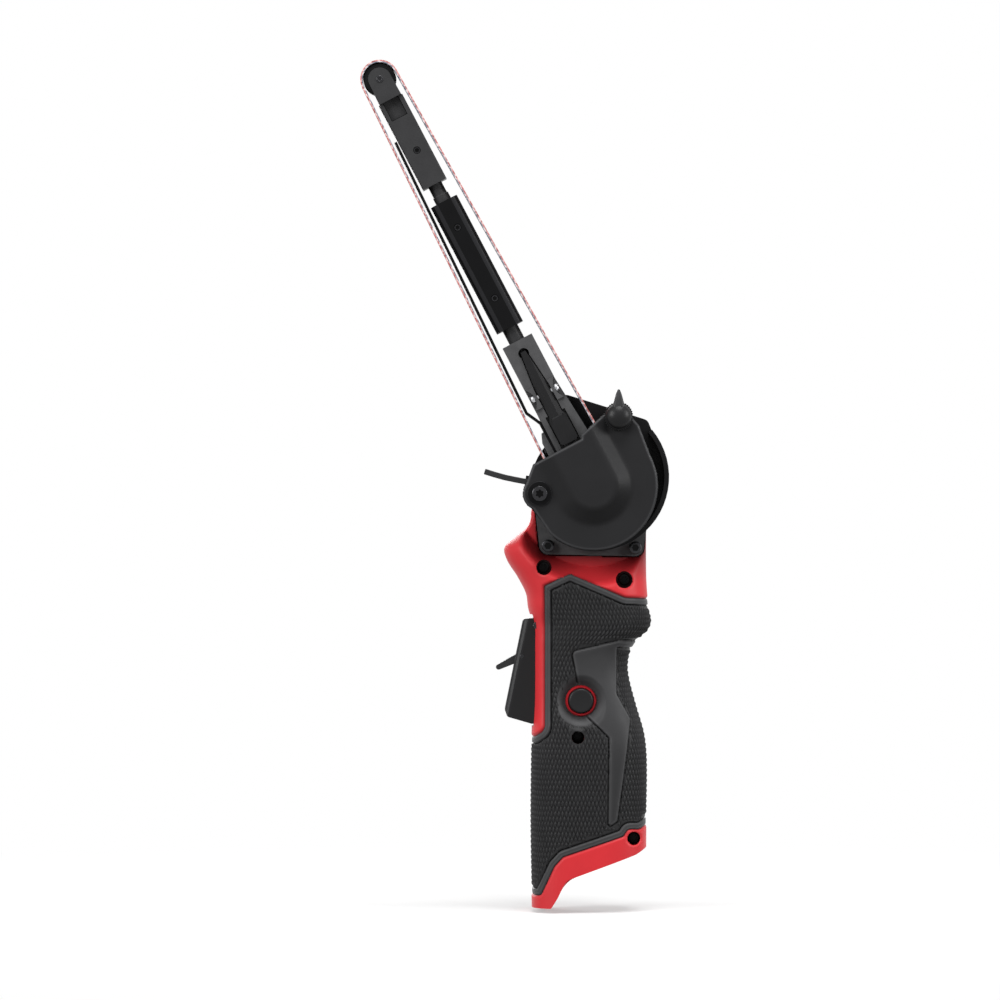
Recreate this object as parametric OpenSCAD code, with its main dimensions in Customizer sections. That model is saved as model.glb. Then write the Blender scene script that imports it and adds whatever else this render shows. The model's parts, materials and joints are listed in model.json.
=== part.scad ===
// Cordless power file: a narrow sanding belt on a sprung arm, carried by a swivelling
// head on a two-part moulded handle that takes a stick battery from below.

/* [Belt drive] */
// Length of the sanding belt along its middle
belt_len = 457; // [445:1:480]
// Width of the sanding belt
belt_w = 13; // [12:0.25:13.5]
// Thickness of the sanding belt
belt_t = 1; // [0.8:0.1:1.1]
// Diameter of the drive pulley at its crown
pulley_d = 25.5; // [24:0.25:25.75]
// Diameter of the tip roller
roller_d = 14; // [13.5:0.25:15]
// Diameter of the roller axle
axle_d = 3; // [2.5:0.1:3.5]
// Running gap under the belt
belt_gap = 0.25; // [0.2:0.05:0.35]
// Distance of the belt's middle from the handle's parting plane
belt_offset = 19.5; // [19.5:0.25:20.5]

/* [Arm] */
// Lean of the arm ahead of the handle, in degrees
arm_tilt = 27.7; // [20:0.1:32]
// Diameter of the sliding arm rod
rod_d = 7.1; // [6.6:0.1:7.3]
// Width of the bar clamped on the rod
bar_w = 12.4; // [11.6:0.2:12.8]
// Corner chamfer of the bar
bar_chamfer = 2.1; // [1.5:0.1:2.4]
// Width of the block that carries the fork
tip_block_w = 11.2; // [10.4:0.2:11.2]
// Length of the block that carries the fork
tip_block_len = 40.5; // [36:0.5:44]
// Thickness of one fork cheek
cheek_t = 1.5; // [1.2:0.1:1.8]
// Width of the cast arm base
base_w = 13.8; // [13:0.2:14.2]
// Top of the cast arm base, measured along the arm from the spindle
base_top = 69.5; // [68.5:0.5:72]
// Travel of the arm when a belt is changed
arm_travel = 5; // [3:0.5:5]
// Thickness of the platen strip behind the belt
platen_t = 1.2; // [1:0.1:1.3]

/* [Head guard] */
// Radius of the guard plate round the spindle
guard_r = 26.5; // [26:0.25:27]
// Thickness of the guard plate
guard_t = 2; // [1.6:0.1:2]
// Gap between the belt's edges and the guard and cover
side_gap = 1.2; // [1:0.1:1.4]
// Radius of the cover round the spindle
cover_r = 27.4; // [27:0.1:27.8]
// Thickness of the cover
cover_t = 1.6; // [1.4:0.1:1.8]
// Height of the raised panel on the cover
bulge_h = 3.7; // [3:0.1:4]
// Thickness of the rubber spark flap
flap_t = 2.4; // [2:0.1:2.6]

/* [Gear case] */
// Radius of the gear case drum
drum_r = 20; // [19.5:0.25:20]
// Radius of the gear case flange
flange_r = 25.5; // [25:0.25:26]
// Radius of the nose that the head swivels on
nose_r = 14; // [13.75:0.25:14.25]
// Spindle diameter at the pulley
spindle_d = 7; // [6:0.2:7.4]
// Teeth on the spindle's bevel gear
gear_teeth = 18; // [16:1:20]
// Teeth on the motor's bevel pinion
pinion_teeth = 11; // [11:1:12]
// Pitch radius of the bevel gear at its outer end
gear_pitch_r = 12; // [11.75:0.25:12]

/* [Motor] */
// Outer radius of the stator
stator_r = 16.4; // [15.6:0.2:16.4]
// Height of the stator stack
stator_h = 13.7; // [12:0.1:13.7]
// Diameter of the rotor shaft
shaft_d = 5; // [4.6:0.1:5.2]

/* [Handle] */
// Height of the handle from its toe to its top
handle_h = 173; // [173:0.5:178]
// Reach of the handle ahead of its axis
handle_front = 25; // [25:0.25:26]
// Reach of the handle behind its axis
handle_rear = 24.5; // [24.5:0.25:26]
// Width of the handle
handle_w = 44; // [44:0.5:47]
// Thickness of the moulded rubber grip
grip_t = 1.6; // [1.2:0.1:1.7]
// Radius of each lobe of the battery bay
bay_r = 9.4; // [9:0.1:9.6]
// Depth of the battery bay
bay_depth = 68; // [66:0.5:68]
// Diameter of the direction button
button_d = 10.7; // [10:0.1:11]
// Travel of the direction button to each side
button_travel = 2; // [1:0.1:2]

/* [Trigger] */
// Width of the trigger paddle
paddle_w = 17.2; // [15:0.2:17.4]
// Diameter of the paddle's hinge pin
paddle_pin_d = 3; // [2.6:0.1:3.2]
// Thickness of the lock-off lever
lever_t = 2.3; // [2:0.1:2.6]
// Width of the lock-off lever
lever_w = 5.4; // [4.6:0.1:5.4]

/* [Fits] */
// Radial clearance of a running fit
run_fit = 0.05; // [0.03:0.01:0.08]
// Radial clearance of a fixed fit
snug_fit = 0.02; // [0.01:0.01:0.04]
// Clearance between pieces that pass each other
pass_gap = 0.3; // [0.25:0.05:0.4]

/* [Hidden] */
$fn = 48;

// Colours of the finishes
housing_red = [0.74, 0.1, 0.12];
rubber_black = [0.13, 0.13, 0.14];
guard_black = [0.1, 0.1, 0.11];
cast_grey = [0.3, 0.3, 0.31];
anodised = [0.07, 0.07, 0.08];
steel = [0.62, 0.63, 0.65];
dark_steel = [0.2, 0.2, 0.22];
belt_pink = [0.72, 0.42, 0.42];
copper = [0.72, 0.42, 0.22];
board_green = [0.1, 0.34, 0.2];

// Where the spindle crosses the handle, and the belt loop laid round it
spindle_x = 1.3;
spindle_z = handle_h + 7;
pulley_r = pulley_d / 2;
roller_r = roller_d / 2;
pulley_path = pulley_r + belt_gap + belt_t / 2;
roller_path = roller_r + belt_gap + belt_t / 2;
belt_free = belt_len - PI * (pulley_path + roller_path);
path_step = pulley_path - roller_path;
arm_len = (belt_free + sqrt(belt_free * belt_free - 8 * path_step * path_step)) / 4;

// Layers across the belt, measured from its middle, with minus towards the cover
belt_half = belt_w / 2;
plate_in = belt_half + side_gap;
plate_out = plate_in + guard_t;
cover_in = -plate_in;
cover_out = cover_in - cover_t;
pulley_half = belt_half - 0.2;
roller_half = belt_half - side_gap;
cheek_in = roller_half + 0.2;
cheek_out = cheek_in + cheek_t;

// Layers across the gear case, measured from the parting plane
nose_front = plate_in - belt_offset - 0.05;
flange_front = plate_out - belt_offset + 3.3;
flange_back = flange_front + 4;
drum_back = flange_back + 19;
ring_front = nose_front - 0.8;

// Stations along the arm
rod_low = 48;
groove_low = base_top - 2.6;
bar_low = base_top + arm_travel + 1.5;
fork_web = arm_len - roller_r - 0.8;
fork_foot = fork_web - 1.9;
tip_top = fork_foot - 0.1;
tip_low = tip_top - tip_block_len;
bar_high = tip_low - 8.2;
tip_bore_top = tip_low + 23;
tip_screw_t = tip_low + 16.3;
bar_screw_t = [bar_low + 14, bar_high - 12.6];
base_low = pulley_r + belt_gap + belt_t + 1.25;
latch_pivot = [44.3, -6.4];
latch_groove = -4.4;
rod_r = rod_d / 2;
spigot_r = rod_r - 0.4;

// Places on the guard, as distances right of and along the arm
hinge_at = [-21.7, 7.7];
knob_at = [23.2, 21.2];
sweep_at = [2.5, 3];
sweep_r = guard_r + 5;
post_r = 4.2;
flap_path = [[-22.4, 13.4], [-24.7, 15.1], [-28.1, 17.8], [-31.5, 20.6], [-34.8, 23.7], [-38, 26.9]];

// Motor stack up the handle, a set share of the way from the bay to the spindle
motor_x = spindle_x;
motor_share = 3 / 7;
motor_low = bay_depth + motor_share * (spindle_z - bay_depth);
stator_low = motor_low + 0.8;
stator_high = stator_low + stator_h;
fan_low = stator_high + 1;
fan_h = 3.3;
fan_r = 14.5;
fan_blades = 11;
motor_high = fan_low + fan_h + 0.8;
low_seat = [motor_low - 5.4, motor_low - 1.2];
high_seat = [motor_high + 3.4, motor_high + 7.7];
low_bearing_r = 5;
high_bearing_r = 6.5;
shaft_r = shaft_d / 2;
shaft_tail_r = shaft_r - 0.5;
shaft_low = low_seat[0] - 1.4;
rotor_r = 8.4;
stator_bore = rotor_r + 0.6;
winding_r = stator_r - 2.8;
winding_w = 6.4;
neck_r = 5;
neck_top = spindle_z - 19;
pinion_back = spindle_z - gear_pitch_r;

// Places on the handle, as distances behind and above its reference point
screw_at = [
    [-19.7, spindle_z - 34.7, 3.3], [14.8, motor_high + 4.5, 3.65],
    [-5.2, bay_depth + 5.1, 2.8], [18.9, 29.9, 2.9]
];
lug_at = [[-17.8, spindle_z - 25.5], [19.5, spindle_z - 26.3]];
lug_r = 3.7;
button_at = [-3.8, bay_depth + 20.5];
paddle_at = [-22.6, 120.5];
lever_at = [-28.9, 107.3];
button_r = button_d / 2;
bezel_r = button_r + 1.3;
boss_r = 12.5;
boss_in = 15.5;
dish_in = 16.5;
bezel_face = dish_in + 0.8;
button_sink = 0.8;
button_reach = bezel_face + button_travel - button_sink;

// Shape of the handle: height, then how far the front, rear and side stand outside
// the nominal section, then how square the section is. The waist lies between the bay
// and the shoulder, and its heights are measured up from the bay.
shoulder_low = handle_h - 51;
waist_h = 54;
function waist(h) = bay_depth + (shoulder_low - bay_depth) * h / waist_h;
STATIONS = [
    [0, -0.3, -0.3, -0.2, 3.2],
    [36, 0.3, -0.1, 0.4, 3.2],
    [62, 0.1, 0.2, 0.2, 3.1],
    [waist(6), -0.2, -0.9, -0.4, 2.9],
    [waist(18), -0.7, -4.3, -1.3, 2.7],
    [waist(29), -0.7, -7.2, -2, 2.6],
    [waist(35), -0.7, -7.9, -2.2, 2.6],
    [waist(41), -0.7, -6.9, -2.1, 2.6],
    [waist(45.5), -0.7, -4.3, -1.6, 2.6],
    [waist(50), -0.7, 0.4, -1.1, 2.6],
    [shoulder_low, -0.3, 2, -1, 2.6],
    [handle_h - 45, 1.3, 1, -1, 2.7],
    [handle_h - 39, 2.2, 0.3, -1, 2.8],
    [handle_h - 32, 5.7, -0.1, -1, 2.6],
    [handle_h - 24.5, 10.4, -0.2, -1, 2.3],
    [handle_h - 19, 11.3, -0.2, -1, 2.2],
    [handle_h - 15, 7, -0.2, -1, 2.3],
    [handle_h - 11, 2, -0.2, -1, 2.5],
    [handle_h - 7, 0.2, -0.2, -1, 2.6],
    [handle_h - 3, -0.2, -0.5, -1.2, 2.6],
    [handle_h, -2, -2, -3, 2.6]
];
LOFT_SIDES = 16;
LOFT_STEPS = 2;

// Underside of the handle: the toe, the slanted battery rim and the heel
FOOT = [[-16.6, 0], [-13.9, 4.3], [-10.9, 10.6], [-9.5, 12.3], [19.8, 23.1], [24.2, 25.8], [45, 38.4]];

// Corners of the rubber grip seen from the side, with the radius of each
GRIP = [
    [-45, 72.6, 0], [-24.6, 72.8, 2], [-19.7, 76, 4],
    [-19.7, handle_h - 35.6, 1.2], [-8.55, handle_h - 30.4, 2],
    [15.1, handle_h - 40.5, 5], [45, handle_h - 42, 0], [45, 42, 0], [24.3, 35.1, 2], [21.6, 33.6, 2],
    [18.6, 35.6, 2.5], [13.6, 33.6, 2.5], [13.4, 30.4, 2], [-11.5, 22.1, 2], [-15.3, 18, 3],
    [-21.3, 5.5, 2], [-45, 5.5, 0]
];

// Paddle seen from the side, with the radius of each corner
PADDLE = [
    [-19.6, 123.6, 2.5], [-28.4, 123.4, 1.8], [-36.3, 84.5, 2], [-35.2, 81.4, 1.5],
    [-24.5, 78.3, 1.5], [-19.6, 80, 1]
];
paddle_lean = 11.5;
paddle_round = 3.2;

// Points of arcs and outlines
function polar(r, a) = [r * cos(a), r * sin(a)];
function arc(c, r, a0, a1, n = 12) = [for (i = [0:n]) [c[0], c[1]] + polar(r, a0 + (a1 - a0) * i / n)];
function unit(v) = v / norm(v);

// Outline wrapped tightly round circles given as [x, y, radius], anticlockwise
function side_angle(a, b) =
    let (d = [b[0] - a[0], b[1] - a[1]])
    atan2(d[1], d[0]) - acos((a[2] - b[2]) / norm(d));
function wrap(cs, n = 16) = [
    for (i = [0:len(cs) - 1])
        let (
            q = cs[i],
            a0 = side_angle(cs[(i + len(cs) - 1) % len(cs)], q),
            a1 = side_angle(q, cs[(i + 1) % len(cs)])
        )
        each arc(q, q[2], a0, a1 < a0 ? a1 + 360 : a1, n)
];

// Corner p between a and b, rounded by r
function corner(a, p, b, r) =
    r == 0 ? [p] :
    let (
        u = unit(a - p),
        v = unit(b - p),
        half = acos(u * v) / 2,
        c = p + unit(u + v) * r / sin(half),
        s = p + u * r / tan(half) - c,
        a0 = atan2(s[1], s[0]),
        turn = cross(u, v) > 0 ? -1 : 1
    )
    arc(c, r, a0, a0 + turn * (180 - 2 * half), 5);
function xy(p) = [p[0], p[1]];
function rounded(ps) = [
    for (i = [0:len(ps) - 1])
        each corner(xy(ps[(i + len(ps) - 1) % len(ps)]), xy(ps[i]), xy(ps[(i + 1) % len(ps)]), ps[i][2])
];

// Strip of width w along a bent path
function left_of(p, i) =
    let (
        d0 = i > 0 ? unit(p[i] - p[i - 1]) : unit(p[1] - p[0]),
        d1 = i < len(p) - 1 ? unit(p[i + 1] - p[i]) : d0,
        n = unit([-d0[1] - d1[1], d0[0] + d1[0]])
    )
    n / (n * [-d0[1], d0[0]]);
function ribbon(p, w) = concat(
    [for (i = [0:len(p) - 1]) p[i] - left_of(p, i) * w / 2],
    [for (i = [len(p) - 1:-1:0]) p[i] + left_of(p, i) * w / 2]
);

// Outline laid in the side view and given thickness from y0 to y1
module on_y(y0, y1) translate([0, y1, 0]) rotate([90, 0, 0]) linear_extrude(y1 - y0) children();

// Round rods along each axis
module rod_y(at, r, y0, y1) translate([at[0], y1, at[1]]) rotate([90, 0, 0]) cylinder(r = r, h = y1 - y0);
module rod_z(at, r, z0, z1) translate([at[0], at[1], z0]) cylinder(r = r, h = z1 - z0);
module rod_x(at, r, x0, x1) translate([x0, at[0], at[1]]) rotate([0, 90, 0]) cylinder(r = r, h = x1 - x0);
module tube_y(at, r_out, r_in, y0, y1) difference() {
    rod_y(at, r_out, y0, y1);
    rod_y(at, r_in, y0 - 1, y1 + 1);
}
module block(x0, x1, y0, y1, z0, z1) translate([x0, y0, z0]) cube([x1 - x0, y1 - y0, z1 - z0]);

// Frame of the arm: x to its right, y from the belt's middle, z out along the arm
module on_arm() translate([spindle_x, -belt_offset, spindle_z]) rotate([0, -arm_tilt, 0]) children();

// Frame of the handle's spindle
module on_spindle() translate([spindle_x, 0, spindle_z]) children();

// Smooth value of one column of the handle's stations at a share f of the way from i to i + 1
function slope(i, k) =
    let (a = STATIONS[max(i - 1, 0)], b = STATIONS[min(i + 1, len(STATIONS) - 1)])
    (b[k] - a[k]) / (b[0] - a[0]);
function between(i, f, k) =
    f == 0 ? STATIONS[i][k] :
    let (a = STATIONS[i], b = STATIONS[i + 1], h = b[0] - a[0])
    a[k] * (1 + 2 * f) * pow(1 - f, 2) + b[k] * f * f * (3 - 2 * f)
    + slope(i, k) * h * f * pow(1 - f, 2) - slope(i + 1, k) * h * f * f * (1 - f);
function level(i, f) = [
    f == 0 ? STATIONS[i][0] : STATIONS[i][0] + f * (STATIONS[i + 1][0] - STATIONS[i][0]),
    for (k = [1:4]) between(i, f, k)
];
LEVELS = [
    for (i = [0:len(STATIONS) - 2], j = [0:LOFT_STEPS - 1]) level(i, j / LOFT_STEPS),
    level(len(STATIONS) - 1, 0)
];

// Near half of one section of the handle, drawn in by inset and closed at the plane y = lip
function bow(v, n) = sign(v) * pow(abs(v), 2 / n);
function section(s, inset, lip) =
    let (
        front = -handle_front - s[1] + inset,
        rear = handle_rear + s[2] - inset,
        mid = (front + rear) / 2,
        a = (rear - front) / 2,
        b = handle_w / 2 + s[3] - inset
    )
    concat(
        [[rear, lip, s[0]]],
        [for (i = [0:LOFT_SIDES]) let (q = 180 * i / LOFT_SIDES)
            [mid + a * bow(cos(q), s[4]), -b * bow(sin(q), s[4]), s[0]]],
        [[front, lip, s[0]]]
    );

// Half of the handle's moulded form
module half_loft(inset, lip) {
    first = lip > 0 ? 0 : 1;
    last = lip > 0 ? LOFT_SIDES + 2 : LOFT_SIDES + 1;
    m = last - first + 1;
    rings = [
        for (j = [0:len(LEVELS) - 1])
            let (
                raw = section(LEVELS[j], inset, lip),
                dz = inset == 0 ? 0 : j == 0 ? -1 : j == len(LEVELS) - 1 ? 1 : 0
            )
            [for (i = [first:last]) raw[i] + [0, 0, dz]]
    ];
    top = len(rings) - 1;
    polyhedron(
        points = [for (r = rings) each r],
        faces = concat(
            [[for (i = [m - 1:-1:0]) i]],
            [for (j = [0:top - 1], i = [0:m - 1]) let (a = j * m + i, b = j * m + (i + 1) % m) [a, b, a + m]],
            [for (j = [0:top - 1], i = [0:m - 1]) let (b = j * m + (i + 1) % m) [b, b + m, j * m + i + m]],
            [[for (i = [0:m - 1]) top * m + i]]
        )
    );
}

// Side view of the rubber grip, and the pocket that it fills in the shell
module grip_area(y0, y1) on_y(y0, y1) polygon(rounded(GRIP));
module button_boss(r) rod_y(button_at, r, -handle_w, -boss_in);
module grip_pocket() {
    difference() {
        grip_area(-handle_w, 1);
        half_loft(grip_t, 2);
    }
    button_boss(boss_r);
}

// Underside cut and the hollow that takes the battery
module foot_cut() on_y(-handle_w, handle_w) polygon(concat([[-16.6, -5]], FOOT, [[45, -5]]));
bay_centres = [[-10.5, -8.8, bay_r], [5.5, 0, bay_r], [-10.5, 8.8, bay_r]];
module battery_bay() translate([0, 0, -2]) linear_extrude(bay_depth + 2) polygon(wrap(bay_centres));

// Round spaces up the handle for the motor, its bearings and the neck of the gear case
module motor_space() {
    at = [motor_x, 0];
    rod_z(at, shaft_tail_r + 0.6, shaft_low - 1.2, motor_low + 1);
    rod_z(at, low_bearing_r + snug_fit, low_seat[0], low_seat[1]);
    rod_z(at, stator_r + 0.2, motor_low, motor_high);
    rod_z(at, shaft_r + 0.7, motor_high - 1, high_seat[0] + 1);
    rod_z(at, high_bearing_r + snug_fit, high_seat[0], high_seat[1]);
    rod_z(at, neck_r + run_fit, high_seat[1] - 1, neck_top + 1);
}

// Space for the switch, the board and the trigger
slot_half = paddle_w / 2 + 0.4;
pin_half = slot_half + 1.4;
slot_low = PADDLE[4][1] - 1;
slot_high = PADDLE[0][1] + 1.6;
slot_step = slot_high - 11.2;
slot_back = -17;
control_low = bay_depth + 11;
control_high = low_seat[0] - 2.1;
control_front = -13;
control_half = 13.5;
module control_space() {
    block(control_front, 10.5, -control_half, control_half, control_low, control_high);
    block(-handle_w, control_front - 0.5, -slot_half, slot_half, slot_low, slot_step);
    block(-handle_w, slot_back, -slot_half, slot_half, slot_step - 1, slot_high);
}

// Everything that both shells lose, seen on the near half
module shell_cuts() {
    foot_cut();
    battery_bay();
    motor_space();
    control_space();
    rod_y(button_at, button_r + run_fit, -handle_w, handle_w);
    rod_y(paddle_at, paddle_pin_d / 2 + snug_fit, -pin_half - 0.2, pin_half + 0.2);
    rod_y([spindle_x, spindle_z], drum_r + 0.2, flange_back - 1, drum_back + 0.1);
}

// Space ahead of the flange in which the head swivels
pocket_r = [34.5, 43];
module head_pocket() {
    translate([spindle_x, flange_front + 1.2, spindle_z]) rotate([90, 0, 0])
        cylinder(r1 = pocket_r[0], r2 = pocket_r[1], h = 17);
    on_y(-handle_w, flange_back) polygon(wrap(flange_circles(0.3)));
}

module left_shell() color(housing_red) difference() {
    half_loft(0, 0);
    grip_pocket();
    shell_cuts();
    head_pocket();
    for (s = screw_at) {
        rod_y(s, s[2], -handle_w, -9.5);
        rod_y(s, 1.6, -10, 1);
    }
    for (p = lug_at) rod_y(p, 1.6, flange_back - 1, 1);
    button_bezel_seat();
}

module right_shell() color(housing_red) difference() {
    mirror([0, 1, 0]) half_loft(0, 0);
    mirror([0, 1, 0]) grip_pocket();
    shell_cuts();
    for (s = screw_at) rod_y(s, 1.4 + snug_fit, -1, 13);
    for (p = lug_at) rod_y(p, 1.5 + snug_fit, -1, 9);
    mirror([0, 1, 0]) button_bezel_seat();
}

// Dish round the direction button, and the seat of its ring
module button_bezel_seat() rod_y(button_at, bezel_r, -bezel_face - 1, -dish_in + 0.6);
module button_dish() {
    translate([button_at[0], -dish_in, button_at[1]]) rotate([90, 0, 0]) cylinder(r1 = 6.9, r2 = 12.4, h = 5);
    rod_y(button_at, bezel_r, -handle_w, -boss_in + 1);
}

module near_grip() difference() {
    intersection() {
        half_loft(0, 0);
        union() {
            grip_area(-handle_w, 1);
            button_boss(boss_r);
        }
    }
    difference() {
        half_loft(grip_t, 2);
        button_boss(boss_r);
    }
    foot_cut();
    button_dish();
    block(-handle_w, slot_back, -slot_half, slot_half, slot_low, slot_high);
}
module left_grip() color(rubber_black) difference() {
    near_grip();
    for (s = [screw_at[2], screw_at[3]]) rod_y(s, s[2], -handle_w, -9);
}
module right_grip() color(rubber_black) mirror([0, 1, 0]) near_grip();

// Screw with a head towards the viewer and a hexagon socket
module screw_y(at, head_r, head_y, shank_r, seat_y, end_y, socket_r) difference() {
    union() {
        rod_y(at, head_r, head_y, seat_y);
        rod_y(at, shank_r, seat_y - 0.5, end_y);
    }
    translate([at[0], head_y + (seat_y - head_y) * 0.6, at[1]]) rotate([90, 0, 0])
        cylinder(r = socket_r, h = 5, $fn = 6);
}

module shell_screws() color(dark_steel)
    for (s = screw_at) screw_y(s, 2.6, -12, 1.4, -9.5, 12, 1.3);

// Gear case: drum, flange with two lugs, nose for the head and neck for the shaft
function flange_circles(grow) = [
    [spindle_x, spindle_z, flange_r + grow],
    [lug_at[0][0], lug_at[0][1], lug_r + grow],
    [lug_at[1][0], lug_at[1][1], lug_r + grow]
];
bearing_r = 9.5;
bearing_back = nose_front + 4.25;
gear_back = gear_pitch_r * pinion_teeth / gear_teeth + 1.95;
rear_seat = [gear_back + 0.2, gear_back + 4.7];
module gear_case() color(cast_grey) difference() {
    union() {
        on_y(flange_front, flange_back) polygon(wrap(flange_circles(0), 24));
        rod_y([spindle_x, spindle_z], nose_r, nose_front, flange_front + 1);
        rod_y([spindle_x, spindle_z], drum_r, flange_back - 1, drum_back);
        rod_z([motor_x, 0], neck_r, high_seat[1], neck_top + 2);
    }
    rod_y([spindle_x, spindle_z], bearing_r + snug_fit, nose_front - 1, bearing_back);
    rod_y([spindle_x, spindle_z], spindle_d / 2 + 2, bearing_back - 1, 1);
    rod_y([spindle_x, spindle_z], gear_pitch_r + 3.2, -1, gear_back + 0.02);
    rod_y([spindle_x, spindle_z], 8 + snug_fit, gear_back - 1, rear_seat[1]);
    rod_z([motor_x, 0], shaft_r + 0.4, high_seat[1] - 1, neck_top + 1);
    rod_z([motor_x, 0], 9, neck_top, pinion_back);
    translate([motor_x, 0, pinion_back - 0.01]) cylinder(r1 = 9, r2 = 5.1, h = 5.5);
    for (p = lug_at) rod_y(p, 1.5 + snug_fit, flange_front - 1, flange_back + 1);
    for (a = ring_screw_angles) rod_y(ring_screw(a), 0.9, nose_front - 1, nose_front + 3.5);
}
module gear_case_screws() color(dark_steel)
    for (p = lug_at) screw_y(p, 2.65, flange_front - 2.8, 1.5, flange_front, 8, 1.4);

// Ring that holds the swivelling head on the nose
ring_screw_angles = [90, 210, 330];
ring_r = nose_r + 3.5;
function ring_screw(a) = [spindle_x, spindle_z] + polar(nose_r - 2.2, a);
module swivel_retainer() color(steel) difference() {
    tube_y([spindle_x, spindle_z], ring_r, bearing_r - 0.5, ring_front, nose_front);
    for (a = ring_screw_angles) rod_y(ring_screw(a), 1.85, ring_front - 1, nose_front + 1);
}
module retainer_screws() color(dark_steel)
    for (a = ring_screw_angles) {
        rod_y(ring_screw(a), 1.8, ring_front + 0.1, nose_front);
        rod_y(ring_screw(a), 0.9 - snug_fit, nose_front - 0.2, nose_front + 3.3);
    }

// Brushless motor
slot_count = 6;
module stator() color(dark_steel) translate([motor_x, 0, 0]) difference() {
    rod_z([0, 0], stator_r, stator_low, stator_high);
    rod_z([0, 0], stator_bore, stator_low - 1, stator_high + 1);
    for (i = [0:slot_count - 1]) rotate(360 * i / slot_count)
        block(stator_bore - 2, winding_r, -winding_w / 2, winding_w / 2, stator_low - 1, stator_high + 1);
}
module stator_windings() color(copper) translate([motor_x, 0, 0])
    for (i = [0:slot_count - 1]) rotate(360 * i / slot_count)
        block(
            stator_bore + 0.4, winding_r - 0.1, -winding_w / 2 + 0.1, winding_w / 2 - 0.1,
            stator_low + 0.2, stator_high - 0.2
        );
module motor_bearings() color(steel) translate([motor_x, 0, 0]) {
    bearing_z(low_bearing_r, shaft_tail_r, low_seat[0] + 0.2, low_seat[1] - 0.2);
    bearing_z(high_bearing_r, shaft_r, high_seat[0] + 0.2, high_seat[1] - 0.1);
}
module bearing_z(r_out, r_in, z0, z1) difference() {
    rod_z([0, 0], r_out, z0, z1);
    rod_z([0, 0], r_in + run_fit, z0 - 1, z1 + 1);
}
module rotor_core() color(dark_steel) translate([motor_x, 0, 0]) difference() {
    rod_z([0, 0], rotor_r, stator_low + 0.2, stator_high);
    rod_z([0, 0], shaft_r, stator_low - 1, stator_high + 1);
}
module rotor_shaft() color(steel) translate([motor_x, 0, 0]) {
    rod_z([0, 0], shaft_tail_r, shaft_low, low_seat[1] + 1.5);
    rod_z([0, 0], shaft_r, low_seat[1] + 1.4, pinion_back + 0.5);
}
module motor_fan() color(guard_black) translate([motor_x, 0, 0]) difference() {
    union() {
        rod_z([0, 0], fan_r, fan_low, fan_low + 1);
        rod_z([0, 0], 5, fan_low, fan_low + fan_h);
        for (i = [0:fan_blades - 1]) rotate(360 * i / fan_blades)
            block(4.5, fan_r - 0.5, -0.5, 0.5, fan_low + 0.5, fan_low + fan_h);
    }
    rod_z([0, 0], shaft_r, fan_low - 1, fan_low + fan_h + 1);
}

// Straight bevel teeth: involute flanks laid on the back cone and drawn to the shared apex
mesh_slack = 0.15;
tooth_module = 2 * gear_pitch_r / gear_teeth;
tooth_top = 0.8 * tooth_module;
tooth_root = 1.05 * tooth_module;
inner_share = 0.65;
flank_steps = 4;
function involute(a) = tan(a) - a * PI / 180;
function half_tooth(h, teeth, rv) =
    let (zv = teeth * rv / (teeth * tooth_module / 2), rb = rv * cos(20), a = acos(min(1, rb / (rv + h))))
    (PI / 2 / zv - mesh_slack / 2 / rv + involute(20) - involute(a)) * 180 / PI;
module bevel(teeth, cone) {
    rp = teeth * tooth_module / 2;
    zp = rp / tan(cone);
    rv = rp / cos(cone);
    hs = [for (i = [0:flank_steps]) -tooth_root + (tooth_root + tooth_top) * i / flank_steps];
    spread = [for (h = hs) half_tooth(max(h, rv * (cos(20) - 1) + 0.01), teeth, rv) / cos(cone)];
    ring = [
        for (k = [0:teeth - 1])
            each concat(
                [for (i = [0:flank_steps]) [hs[i], 360 * k / teeth - spread[i]]],
                [for (i = [flank_steps:-1:0]) [hs[i], 360 * k / teeth + spread[i]]]
            )
    ];
    outer = [for (p = ring) let (q = polar(rp + p[0] * cos(cone), p[1])) [q[0], q[1], zp - p[0] * sin(cone)]];
    m = len(ring);
    foot_z = zp + tooth_root * sin(cone);
    polyhedron(
        points = concat(outer, outer * inner_share, [[0, 0, foot_z], [0, 0, foot_z * inner_share]]),
        faces = concat(
            [for (i = [0:m - 1]) [i, (i + 1) % m, m + i]],
            [for (i = [0:m - 1]) [(i + 1) % m, m + (i + 1) % m, m + i]],
            [for (i = [0:m - 1]) [2 * m, (i + 1) % m, i]],
            [for (i = [0:m - 1]) [2 * m + 1, m + i, m + (i + 1) % m]]
        )
    );
}
gear_cone = atan(gear_teeth / pinion_teeth);
module bevel_gear() color(steel) on_spindle() rotate([-90, 0, 0]) difference() {
    union() {
        rotate(90 + 180 / gear_teeth) bevel(gear_teeth, gear_cone);
        rod_z([0, 0], 7, gear_back - 4.6, gear_back - 0.3);
    }
    rod_z([0, 0], spindle_d / 2, -1, gear_back + 1);
}
module bevel_pinion() color(steel) on_spindle() rotate([180, 0, 0]) difference() {
    union() {
        rotate(-90) bevel(pinion_teeth, 90 - gear_cone);
        rod_z([0, 0], 4.4, gear_pitch_r - 1, gear_pitch_r + 4);
    }
    rod_z([0, 0], shaft_r, gear_pitch_r - 0.5, gear_pitch_r + 6);
}

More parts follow.
